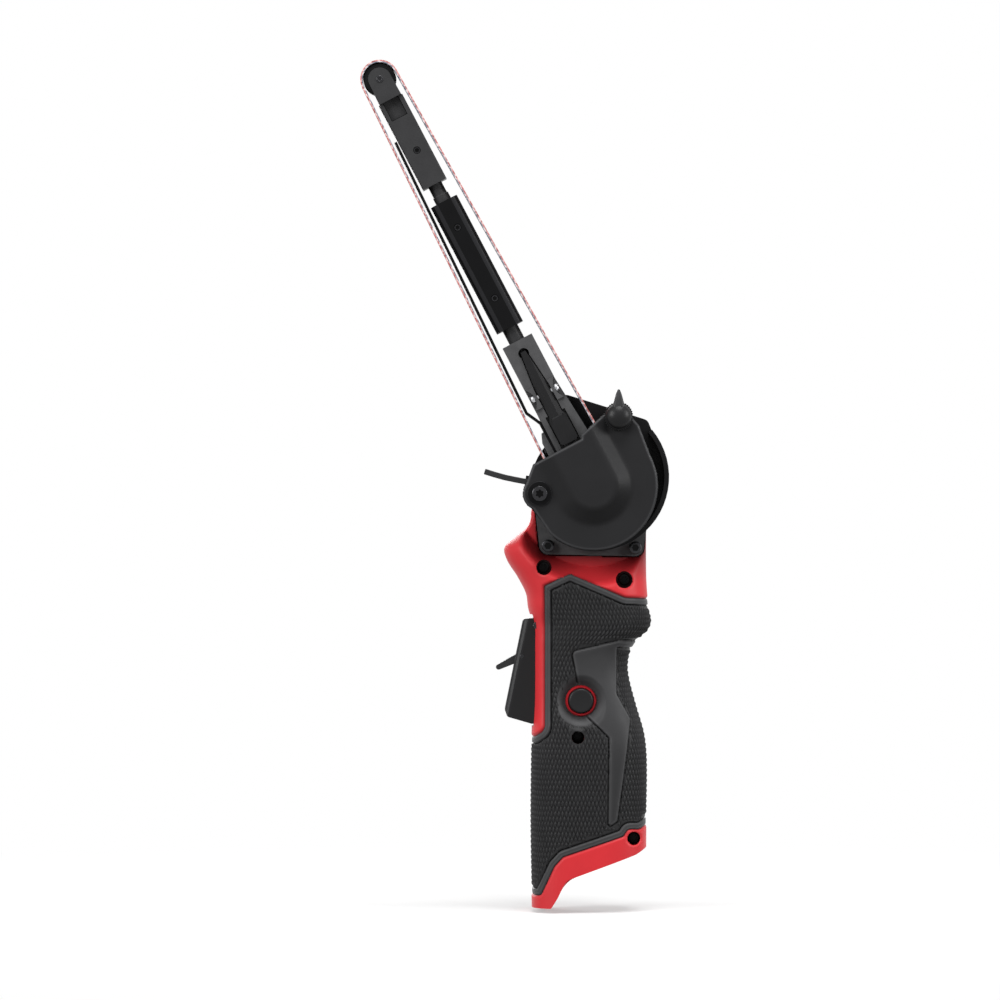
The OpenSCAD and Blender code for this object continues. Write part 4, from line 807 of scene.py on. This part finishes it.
def makeShell(near):
    side = -1 if near else 1
    u, z = handleGrid(near)
    points = shellPoints(u, z, near)
    keep = keptOff(faceMean(slotDistance(u, z)) > 0, u, z, near)
    points[..., 1] *= -side
    mesh = gridMesh(points, keep, not near, shade=shellShade(u, z, points, near))
    bm = bmeshOf(mesh)
    dark = bm.verts.layers.float["shade"]
    for x, h, radius in screwHoles(near):
        edges = boundaryWhere(bm, lambda p: math.hypot(p.x - x, p.z - h) < radius + 0.25)
        seat, ring = pushIn(bm, edges, 1, handle["screwSeat"])
        # painted shade at the bottom of each screw hole
        for v in seat:
            v[dark] = 1.0
        bmesh.ops.edgeloop_fill(bm, edges=ring)
    slot = handle["slot"]
    edges = boundaryWhere(bm, lambda p: (
        p.x < slot["front"] and slot["low"] - 0.1 < p.z < slot["high"] + 0.1 and abs(p.y) < slot["half"] + 0.6
    ))
    back, _ = pushIn(bm, edges, 0, slot["back"])
    middle = (slot["low"] + slot["high"]) / 2 * mm
    bm.faces.new(sorted(back, key=lambda v: math.atan2(v.co.z - middle, abs(v.co.y))))

    # battery bay below, and a flat top behind the gear case
    lookup = {placeKey(c / mm for c in v.co): v for v in bm.verts}
    outer, top = ([lookup[placeKey(p)] for p in row] for row in (points[0], points[-1]))
    rimX, rimY = bayRim(points.shape[1], side)
    rim, roof = (
        [bm.verts.new((x * mm, y * mm, h * mm)) for x, y, h in zip(rimX, rimY, heights)]
        for heights in (footHeight(rimX), [handle["bay"]["depth"]] * len(rimX))
    )
    for low, high in ((outer, rim), (rim, roof)):
        for k in range(len(low) - 1):
            bm.faces.new((low[k], low[k + 1], high[k + 1], high[k]))
    bm.faces.new(roof)
    bm.faces.new(top)
    bmesh.ops.remove_doubles(bm, verts=bm.verts, dist=0.001 * mm)
    bmesh.ops.holes_fill(bm, edges=[e for e in bm.edges if e.is_boundary], sides=0)
    name, node = ("leftHousing", "left_shell") if near else ("rightHousing", "right_shell")
    settle(name, written(bm, mesh), "redNylon", node, 40)


def scalePlaces(near):  # rows of small diamonds over the textured parts of the grip
    rows = np.arange(5, 140, grip["scaleRow"])
    steps = np.arange(-24, 25)
    z = np.repeat(rows[:, None], len(steps), 1)
    offset = np.where(np.arange(len(rows)) % 2, 0.5, 0)[:, None]
    girth = np.interp(z, tableHeights, halfGirth)
    u = np.interp(z, tableHeights, middleShare) + (steps[None, :] + offset) * grip["scaleWidth"] / girth
    u, z = u.ravel(), z.ravel()
    inside = (u > 0.012) & (u < 0.988)  # clear of the parting lines
    u, z = u[inside], z[inside]
    good = scaleRoom(u, z, near) > 0
    u, z = u[good], z[good]
    points, normal, upward = surfaceFrame(u, z, dishedPoint)
    points = points + normal * (grip["textureLevel"] - grip["scaleBed"])
    if not near:
        for values in (points, normal, upward):
            values[:, 1] *= -1
    right = normed(np.cross(upward, normal))
    upward = np.cross(normal, right)
    return points * mm, eulersFrom(right, upward, normal), u, z, normal


def scaleRoom(u, z, near):  # distance to the nearest line that the texture stops at
    room = np.minimum(-grip["band"] - gripDistance(u, z), panelDistance(u, z)) - grip["grooveWidth"]
    room = np.minimum(room, fromButton(loftPoint(u, z)[0], z) - button["smooth"])
    for hole in screwHoles(near):
        room = np.minimum(room, holeDistance(u, z, hole) - 0.4)
    return room


def trimScales(mesh, shape, u, z, normal, near):  # sinks the tips that would cross a line
    corners = np.array([v.co for v in shape.vertices]) / mm
    side = -1 if near else 1
    tipU = u[:, None] + side * corners[None, :, 0] / np.interp(z, tableHeights, halfGirth)[:, None]
    tipZ = z[:, None] + corners[None, :, 1]
    room = scaleRoom(unit(tipU).ravel(), tipZ.ravel(), near)
    over = unit(-room / 0.3).reshape(tipU.shape)
    sink = over[..., None] * normal[:, None, :] * grip["scaleSink"] * mm
    points = np.empty(len(mesh.vertices) * 3)
    mesh.vertices.foreach_get("co", points)
    mesh.vertices.foreach_set("co", points - sink.ravel())


def scaleShape():  # one low diamond point, with painted shade round its foot
    half, tall = grip["scaleWidth"] / 2 * grip["scaleFill"], grip["scaleRow"] * grip["scaleFill"]
    high, lift = grip["scaleHeight"], tall * grip["scaleLift"]

    def diamond(size, middle, height):
        corners = ((half, 0), (0, tall), (-half, 0), (0, -tall))
        return [(x * size, middle + y * size, height) for x, y in corners]

    rings = [[(0, 0, 0)], diamond(1, 0, 0), diamond(grip["scaleTip"], lift, high), [(0, lift, high * 1.03)]]
    return ringMesh(rings, millimetres, [0.8, 0.8, 0, 0])


def makeGrip(near):
    side = -1 if near else 1
    u, z = handleGrid(near)
    points, shade, light = gripPoints(u, z)
    keep = faceMean(gripDistance(u, z)) < 0
    keep &= faceMean(fromButton(points[..., 0], z)) > button["hole"]
    keep = keptOff(keep, u, z, near)
    points[..., 1] = np.minimum(points[..., 1], 0) * -side
    mesh = walled(gridMesh(points, keep, not near, shade=shade, rim=light), grip["thickness"])
    name, node = ("leftGripRubber", "left_grip") if near else ("rightGripRubber", "right_grip")
    settle(name, mesh, "gripRubber", node, 50)
    places, turns, u, z, normal = scalePlaces(near)
    shape = scaleShape()
    scales = setOut(shape, places, turns, "gripRubber")
    trimScales(scales, shape, u, z, normal, near)
    settle(name + "Scales", scales, "gripRubber", node, 20)
    print(name, len(mesh.polygons), "faces,", len(places), "scales")


for nearSide in (True, False):
    makeShell(nearSide)
    makeGrip(nearSide)
print("handle done")


# Guard cover: a flat plate with a raised panel that follows the pulley

cover = {
    "radius": 27.4, "hinge": (-21.7, 7.7), "hingeRadius": 7.2, "hingeHole": 2.1,
    "knob": (23.2, 21.2), "slotRadius": 2.3, "slotRun": (-5.8, 19),
    "corners": [(29.1, 13.9), (28.1, 17.7), (17.7, 24.8), (5.6, 21.6), (4.7, 20), (-18.4, 20)],
    "front": -9.3, "thickness": 1.6, "skirt": -2.8, "skirtInset": 0.05, "skirtEdge": 0.3,
    "bulge": 3.7, "low": 16.6, "high": 9.7, "softLow": 0.16, "softHigh": 0.2,
    "edge": 0.55, "edgeWidth": 0.9, "grid": 0.4,
    # strength, place and width of the painted edge highlight, and how dark the painted shade under the panel
    # is
    "highlightAmount": 0.8, "highlightAway": 0.55, "highlightWidth": 0.6, "shade": 0.45,
}


def makeCover():
    radius, thickness, spacing = cover["radius"], cover["thickness"], cover["grid"]
    (hx, hz), (kx, kz), (runX, runZ) = cover["hinge"], cover["knob"], cover["slotRun"]
    outline = np.array(
        arcPoints((0, 0), radius, -160, 0, 60) + cover["corners"]
        + arcPoints((hx, hz), cover["hingeRadius"], 115, 220, 20)
    )
    slot = wrapOutline([(kx, kz, cover["slotRadius"]), (kx + runX, kz + runZ, cover["slotRadius"])])

    def distance(s, t):
        gap = np.maximum(outlineDistance(s, t, outline), -outlineDistance(s, t, slot))
        return np.maximum(gap, cover["hingeHole"] - np.hypot(s - hx, t - hz))

    s, t = np.meshgrid(np.arange(-30, 30.5, spacing), np.arange(-28.5, 26, spacing))
    snapGrid(s, t, np.zeros(s.shape, bool), distance)
    gap = distance(s, t)
    ring = np.where(t < 0, np.hypot(s, t), abs(s))
    rise = smoothMax((cover["low"] - ring) / (cover["low"] - cover["high"]), 0, cover["softLow"])
    rise = -smoothMax(-rise, -1, cover["softHigh"])
    y = cover["front"] - cover["bulge"] * rise + cover["edge"] * fadeOut(-gap, cover["edgeWidth"]) ** 2
    # a painted highlight line just inside the edge
    rim = cover["highlightAmount"] * fadeOut(abs(gap + cover["highlightAway"]), cover["highlightWidth"])
    slopeUp, _ = np.gradient(y, spacing)
    shade = cover["shade"] * unit(-slopeUp / 0.5) * (gap < -1.2)  # the underside of the panel lies in shade
    points = np.stack([s, y, t], axis=-1) / mm
    mesh = gridMesh(points, faceMean(gap) < 0, True, shade=shade, rim=rim)
    mesh.transform(armFrame)
    plate = walled(mesh, thickness)
    endX, endZ = cover["corners"][0]
    endX -= cover["skirtInset"]
    lip = arcPoints((0, 0), radius - cover["skirtInset"], -150, 0, 50)
    lip += [(endX, endZ), (endX - thickness, endZ)] + arcPoints((0, 0), radius - thickness, 0, -150, 50)
    skirt = rounded(prism(lip, cover["front"] + 0.9, cover["skirt"], armFrame), cover["skirtEdge"])
    settle("coverPlate", written(bmeshOf(plate, skirt), outward=False), "coverBlack", "guard_cover", 40)


makeCover()


# Screws, set out by Geometry Nodes

def recessRadius(kind, radius, angle):
    if kind == "hex":
        return radius * math.cos(math.pi / 6) / math.cos((angle % (math.pi / 3)) - math.pi / 6)
    return radius * (0.86 + 0.14 * math.cos(6 * angle))


def screwShape(radius, height, recess, socket, depth, steps=36):  # head on the plane Z = 0, with its recess in painted shade
    angles = [math.tau * k / steps for k in range(steps)]
    bevel = 0.08  # of the edge of the recess

    def ring(r, h):
        return [(*polar(r, a), h) for a in angles]

    def recessRing(extra, h):
        return [(*polar(recessRadius(recess, socket, a) + extra, a), h) for a in angles]

    rings = [
        [(0, 0, height - depth)], recessRing(0, height - depth), recessRing(0, height - bevel),
        recessRing(bevel, height), ring(radius * 0.86, height), ring(radius * 0.95, height - radius * 0.05),
        ring(radius, height - radius * 0.17), ring(radius, 0), [(0, 0, 0)],
    ]
    return ringMesh(rings, millimetres, [1, 1, 0.5])


smallHead = (1.55, 1.6, "star", 0.95, 0.9)
screwSets = {  # node, finish, frame, head, and places in the frame: right, across, up
    "shellScrewHeads": (
        "shell_screws", "barBlack", millimetres, (2.6, 2.5, "star", 1.5, 1.2),
        [(x, handle["screwSeat"], z) for x, z, _ in handle["screws"]],
    ),
    "caseScrewHeads": (
        "gear_case_screws", "darkSteel", millimetres, (2.65, 2.8, "hex", 1.5, 1.6),
        [(x, -6.5, z) for x, z in handle["lugs"]],
    ),
    "pivotScrewHead": (
        "cover_pivot_screw", "darkSteel", armFrame, (3.3, 2.1, "star", 1.75, 1.5),
        [(cover["hinge"][0], -10.0, cover["hinge"][1])],
    ),
    "barScrewHeads": ("bar_screws", "darkSteel", armFrame, smallHead, [(0, -4.2, 90), (0, -4.2, 123.94)]),
    "tipScrewHead": ("tip_block_screw", "darkSteel", armFrame, smallHead, [(0, -3.6, 161.04)]),
}


def makeScrews():
    for name, (node, finish, base, head, spots) in screwSets.items():
        turn = (base.to_quaternion() @ towardViewer.to_quaternion()).to_euler()
        places = [base @ Vector(p) for p in spots]
        settle(name, setOut(screwShape(*head), places, [tuple(turn)] * len(places), finish), finish, node, 30)


makeScrews()


# Quarter-turn knob: domed, with a knurled rim and a pointed fin

knob = {
    "face": -9.6, "radius": 5.9, "high": 6.6, "rim": 2.4, "ridges": 36, "ridge": 0.3,
    "stemRadius": 2.0, "stemLength": 15.9, "finLength": 11.4, "finHalf": 3.8, "finFront": 5.0,
}


def makeKnob():
    centre = armFrame @ Vector((cover["knob"][0], knob["face"], cover["knob"][1]))
    upright = Matrix.Translation(centre) @ towardViewer @ millimetres
    r, rim, high, ridge = knob["radius"], knob["rim"], knob["high"], knob["ridge"]
    stem, end = knob["stemRadius"], -knob["stemLength"]
    dome = [((r - 0.4) * math.cos(a), rim + (high - rim) * math.sin(a)) for a in np.linspace(1.45, 0, 9)]
    foot = [(r - 0.15, rim), (r, rim - 0.2), (r, 0.2), (r - 0.2, 0), (stem, 0), (stem, end), (0, end)]
    body = turned([(0, high)] + dome + foot, upright)
    profile = [(0, rim), (ridge * 0.7, rim - 0.05), (ridge, rim - 0.25), (ridge, 0.2), (0, 0.1)]
    turns = np.linspace(0, math.tau, knob["ridges"], endpoint=False)
    places = [upright @ Vector((*polar(r, a), 0)) for a in turns]
    upturned = [tuple(towardViewer.to_euler())] * len(places)
    ridges = setOut(turned(profile, millimetres, 8), places, upturned, "triggerBlack")
    half, tip, front = knob["finHalf"], knob["finLength"], knob["finFront"]
    side = [(half * (1 - 0.8 * k), tip * k - 0.3) for k in (0.3, 0.5, 0.7, 0.85)]
    outline = arcPoints((0, 0), half, 180, 360, 16) + side + arcPoints((0, tip - 0.62), 0.6, 10, 170, 6)
    outline += [(-x, z) for x, z in side[::-1]]
    layers = ((rim - 0.1, 1.0), (front - 1.1, 1.0), (front - 0.4, 0.9), (front, 0.6))
    rings = [[(x * inset, z * (0.85 + 0.15 * inset), height) for x, z in outline] for height, inset in layers]
    fin = ringMesh([[(0, 2, rim - 0.1)]] + rings + [[(0, 3, front)]], upright)
    settle("knobDome", body, "triggerBlack", "cover_knob", 40)
    settle("knobRidges", ridges, "triggerBlack", "cover_knob", 40)
    settle("knobFin", fin, "blockGrey", "cover_knob", 50)


makeKnob()


# Sanding belt: two layers swept along the loop by Geometry Nodes

belt = {
    "width": 13.0, "grit": 0.55, "cloth": 0.45, "pulley": 13.5, "roller": 7.75, "step": 2.0,
    "stretch": (40.0, 180.0),  # heights on the arm between which the belt gives way
}


def beltTree():
    tree, given, add = newTree("beltLayer", {
        "Loop": "Geometry", "Width": "Float", "Depth": "Float", "Finish": "Material",
    })
    curve = add("GeometryNodeMeshToCurve", 0, {"Mesh": given["Loop"]})
    upright = add("GeometryNodeSetCurveNormal", 0, {"Curve": curve}, mode="Z_UP")
    length = add("GeometryNodeSplineParameter", "Length")
    marks = {"Geometry": upright, "Name": "along", "Value": length}
    marked = add("GeometryNodeStoreNamedAttribute", 0, marks, data_type="FLOAT", domain="POINT")
    section = {"Width": given["Depth"], "Height": given["Width"]}
    profile = add("GeometryNodeCurvePrimitiveQuadrilateral", 0, section)
    sweep = add("GeometryNodeCurveToMesh", 0, {"Curve": marked, "Profile Curve": profile})
    return endTree(tree, sweep, given["Finish"])


def loopPoints(offset):  # belt line in the arm plane, offset outwards
    circles = [(0, 0, belt["pulley"] + offset), (0, spindle["armLength"], belt["roller"] + offset)]
    corners = wrapOutline(circles, 48)
    run = []
    for a, b in zip(corners, np.roll(corners, -1, axis=0)):
        steps = max(1, int(np.hypot(*(b - a)) / belt["step"]))
        run += [a + (b - a) * k / steps for k in range(steps)]
    return np.array(run)


def makeBelt():
    tree = beltTree()
    half = (belt["grit"] + belt["cloth"]) / 2
    layers = {
        "beltGritLayer": (half - belt["grit"] / 2, "grit", "beltGrit"),
        "beltClothLayer": (-half + belt["cloth"] / 2, "cloth", "beltCloth"),
    }
    for name, (offset, depth, finish) in layers.items():
        points = loopPoints(offset) * mm
        loop = bpy.data.meshes.new("loop")
        edges = [(k, (k + 1) % len(points)) for k in range(len(points))]
        loop.from_pydata([(x, z, 0) for x, z in points], edges, [])
        mesh = runTree(bareObject("loop", loop), tree, {
            "Width": belt["width"] * mm, "Depth": belt[depth] * mm, "Finish": materials[finish],
        })
        mesh.transform(armFrame @ Matrix.Scale(1 / mm, 4) @ towardViewer)
        written(bmeshOf(mesh), mesh)
        cut = mesh.attributes.new("cutEdge", "FLOAT", "FACE").data
        cut.foreach_set("value", [float(abs(polygon.normal.y) > 0.7) for polygon in mesh.polygons])
        settle(name, mesh, finish, "abrasive_belt", 40, belt["stretch"])


makeBelt()


# Spring in the arm base, which the rod presses together

spring = {"turns": 8, "radius": 2.65, "wire": 0.45, "low": 29.5, "high": 47.5, "perTurn": 32, "around": 10}


def makeSpring():
    steps = spring["turns"] * spring["perTurn"]
    section = [polar(spring["wire"], math.tau * j / spring["around"]) for j in range(spring["around"])]
    rings = []
    for k in range(steps + 1):
        turn = math.tau * k / spring["perTurn"]
        height = spring["low"] + (spring["high"] - spring["low"]) * k / steps
        rings.append([(*polar(spring["radius"] + out, turn), height + up) for out, up in section])
    first, last = ([tuple(np.mean(ring, axis=0))] for ring in (rings[0], rings[-1]))
    mesh = ringMesh([first] + rings + [last], armFrame)
    settle("tensionSpring", mesh, "brightSteel", "tension_spring", 50, (spring["low"], spring["high"]))


makeSpring()
print("head done")


# Button that slides through the handle, and its red rings

def makeButton():
    centre = Vector((button["x"], 0, button["z"])) * mm
    place = Matrix.Translation(centre) @ towardViewer @ millimetres
    r, ring, bore = button["radius"], button["bezel"], button["radius"] + 0.06
    dip = ((0, 0.35), (0.5, 0.25), (0.74, 0.02), (0.82, 0), (0.9, 0.12), (0.97, 0.5), (1, 1.1))
    end = [(r * share, button["reach"] - depth) for share, depth in dip]  # hollow face with a soft edge
    body = turned(end + [(a, -h) for a, h in end[::-1]], place)
    settle("directionButton", body, "triggerBlack", "shuttle_button", 40)
    rings = []
    for side in (-1, 1):
        low, high = side * button["ringLow"], side * button["ringHigh"]
        rings.append(turned([
            (bore, low), (ring, low), (ring, high - side * 0.9), (ring - 0.2, high - side * 0.45),
            (ring - 0.5, high), (r + 0.35, high), (bore, high - side * 0.3), (bore, low),
        ], place))
    bm = bmeshOf(*rings)
    bmesh.ops.remove_doubles(bm, verts=bm.verts, dist=0.001 * mm)
    settle("buttonRings", written(bm), "ringRed", "button_bezel", 40)


makeButton()


# Latch pin with domed heads

latchPin = {"across": -6.4, "along": 44.3, "radius": 1.0, "head": 1.9, "inner": 4.9, "rim": 0.5, "reach": 6.9}


def makeLatchPin():
    sideways = Matrix.Rotation(math.pi / 2, 4, "Y")
    place = armFrame @ Matrix.Translation((0, latchPin["across"], latchPin["along"])) @ sideways
    head, inner, reach = latchPin["head"], latchPin["inner"], latchPin["reach"]
    low = inner + latchPin["rim"]
    cap = [(head * math.cos(a), low + (reach - low) * math.sin(a)) for a in np.linspace(0, 1.4, 8)]
    end = [(latchPin["radius"], inner), (head * 0.92, inner), (head, inner + 0.15)] + cap + [(0, reach)]
    profile = [(r, -h) for r, h in end[::-1]] + end
    settle("latchPinHeads", turned(profile, place, 40), "brightSteel", "latch_pin", 40)


makeLatchPin()


# Machined, cast and moulded pieces: the CAD solids with broken edges

softEdges = {  # node: (finish, edge radius, chamfer of long edges, least angle of a softened edge)
    "gear_case": ("castGrey", 0.6), "guard_back": ("guardBlack", 0.35), "arm_base": ("castGrey", 0.3),
    "tension_latch": ("latchGrey", 0.25, 0, 12), "arm_bar": ("barBlack", 0.12, 1.0),
    "tip_block": ("blockGrey", 0.2), "tip_fork": ("blockGrey", 0.2), "arm_rod": ("blockGrey", 0.2),
    "roller_axle": ("darkSteel", 0.15), "tip_roller": ("guardBlack", 0.25), "paddle": ("triggerBlack", 1.1),
    "lock_off_lever": ("blockGrey", 0.25), "spark_flap": ("flapRubber", 0.3), "platen": ("barBlack", 0.15),
    "platen_clamp": ("castGrey", 0.25), "platen_screws": ("darkSteel", 0.15),
    "arm_screws": ("darkSteel", 0.2), "pivot_washer": ("barBlack", 0.2),
    "lock_lever_pin": ("darkSteel", 0.15), "paddle_pin": ("darkSteel", 0.2),
    "drive_pulley": ("brightSteel", 0.2), "terminal_block": ("guardBlack", 0.3),
}
plainNodes = {  # finish: solids that keep their CAD shape
    "brightSteel": (
        "swivel_retainer", "motor_bearings", "spindle_bearings", "spindle", "bevel_gear", "rotor_shaft",
        "bevel_pinion",
    ),
    "darkSteel": ("retainer_screws", "stator", "pulley_screw", "rotor_core"),
    "copperWire": ("stator_windings", "battery_contacts"),
    "boardGreen": ("control_board",),
    "guardBlack": ("switch_body", "motor_fan"),
}
for node, plan in softEdges.items():
    softCopy(node, *plan)
for finish, group in plainNodes.items():
    for node in group:
        for entry in nodes[node].material_slots:
            entry.material = materials[finish]
print("soft edges:", len(softEdges), "plain nodes:", sum(map(len, plainNodes.values())))


# Floor, light and camera

photo = {"mmPerPixel": 0.4255, "size": 1000, "originX": 590, "originZ": 909}
studio = {
    "distance": 2.6, "world": 0.2, "glow": 0.32, "reach": 6.0, "below": 0.002,
    "floor": 0.5, "bounce": 0.12,  # how pale the floor is where it is seen, and as a light from below
    "shadowReach": (0.16, 0.5),  # the floor turns plain white between these distances from the part
    "lamps": {  # power in watts, size and place in metres
        "key": (21, 0.8, (1.5, -0.65, 0.65)), "fill": (24, 0.9, (-1.35, -0.95, 0.7)),
        "top": (22, 0.8, (0.1, -0.6, 1.5)), "rear": (20, 1.2, (-0.2, 1.6, 0.8)),
    },
}
white = (1, 1, 1, 1)


def seenDirectly(tree):  # 1 for the camera, reflections and see-through, 0 for light that falls on the part
    path = tree.nodes.new("ShaderNodeLightPath").outputs
    total = path["Is Camera Ray"]
    for kind in ("Is Glossy Ray", "Is Transmission Ray"):
        total = addNode(tree, "ShaderNodeMath", 0, {0: total, 1: path[kind]}, operation="ADD", use_clamp=True)
    return total


def makeWorld():  # plain white where seen, softer as a light
    world = bpy.data.worlds.new("studio")
    scene.world = world
    world.use_nodes = True
    tree = world.node_tree
    dimmed = {"Value": seenDirectly(tree), "To Min": studio["world"]}
    strength = addNode(tree, "ShaderNodeMapRange", 0, dimmed)
    feed(tree, tree.nodes["Background"], {"Color": white, "Strength": strength})


def makeFloor():
    paint = bpy.data.materials.new("floorWhite")
    paint.use_nodes = True
    tree = paint.node_tree
    add = partial(addNode, tree)
    seen = seenDirectly(tree)
    tones = {"Value": seen, "To Min": studio["bounce"], "To Max": studio["floor"]}
    shader = feed(tree, tree.nodes["Principled BSDF"], {
        "Base Color": add("ShaderNodeMapRange", 0, tones),
        "Roughness": 0.9, "Specular IOR Level": 0.0, "Emission Color": white,
        "Emission Strength": add("ShaderNodeMath", 0, {0: seen, 1: studio["glow"]}, operation="MULTIPLY"),
    })
    near, far = studio["shadowReach"]
    place = add("ShaderNodeTexCoord", "Object")
    away = add("ShaderNodeVectorMath", "Value", {0: place}, operation="LENGTH")
    ends = {"Value": away, "From Min": near, "From Max": far}
    fade = add("ShaderNodeMapRange", 0, ends, interpolation_type="SMOOTHSTEP")
    share = add("ShaderNodeMath", 0, {0: fade, 1: seen}, operation="MULTIPLY")
    plain = add("ShaderNodeEmission")
    mixed = add("ShaderNodeMixShader", 0, {0: share, 1: shader.outputs[0], 2: plain})
    feed(tree, tree.nodes["Material Output"], {"Surface": mixed})
    reach, low = studio["reach"], cadBox[0][2] - studio["below"]
    floor = bpy.data.meshes.new("floor")
    corners = [(-reach, -reach, low), (reach, -reach, low), (reach, reach, low), (-reach, reach, low)]
    floor.from_pydata(corners, [], [(0, 1, 2, 3)])
    floor.materials.append(paint)
    bareObject("floor", floor)


def makeLights(target):
    for name, (power, size, place) in studio["lamps"].items():
        lamp = bpy.data.lights.new(name, "AREA")
        lamp.energy, lamp.size = power, size
        obj = bareObject(name, lamp)
        obj.location = place
        obj.rotation_euler = (target - Vector(place)).to_track_quat("-Z", "Y").to_euler()


def makeCamera():
    pixel = photo["mmPerPixel"] * mm
    centreX = (photo["size"] / 2 - photo["originX"]) * pixel
    centreZ = (photo["originZ"] - photo["size"] / 2) * pixel
    lens = bpy.data.cameras.new("camera")
    lens.sensor_width = 36
    lens.lens = lens.sensor_width * studio["distance"] / (photo["size"] * pixel)
    lens.clip_end = 20
    obj = bareObject("camera", lens)
    obj.location = (centreX, -studio["distance"] + spindle["y"] * mm, centreZ)
    obj.rotation_euler = (math.pi / 2, 0, 0)
    scene.camera = obj
    makeLights(Vector((centreX + 0.03, 0, centreZ)))


makeWorld()
makeFloor()
makeCamera()
print("stage done")
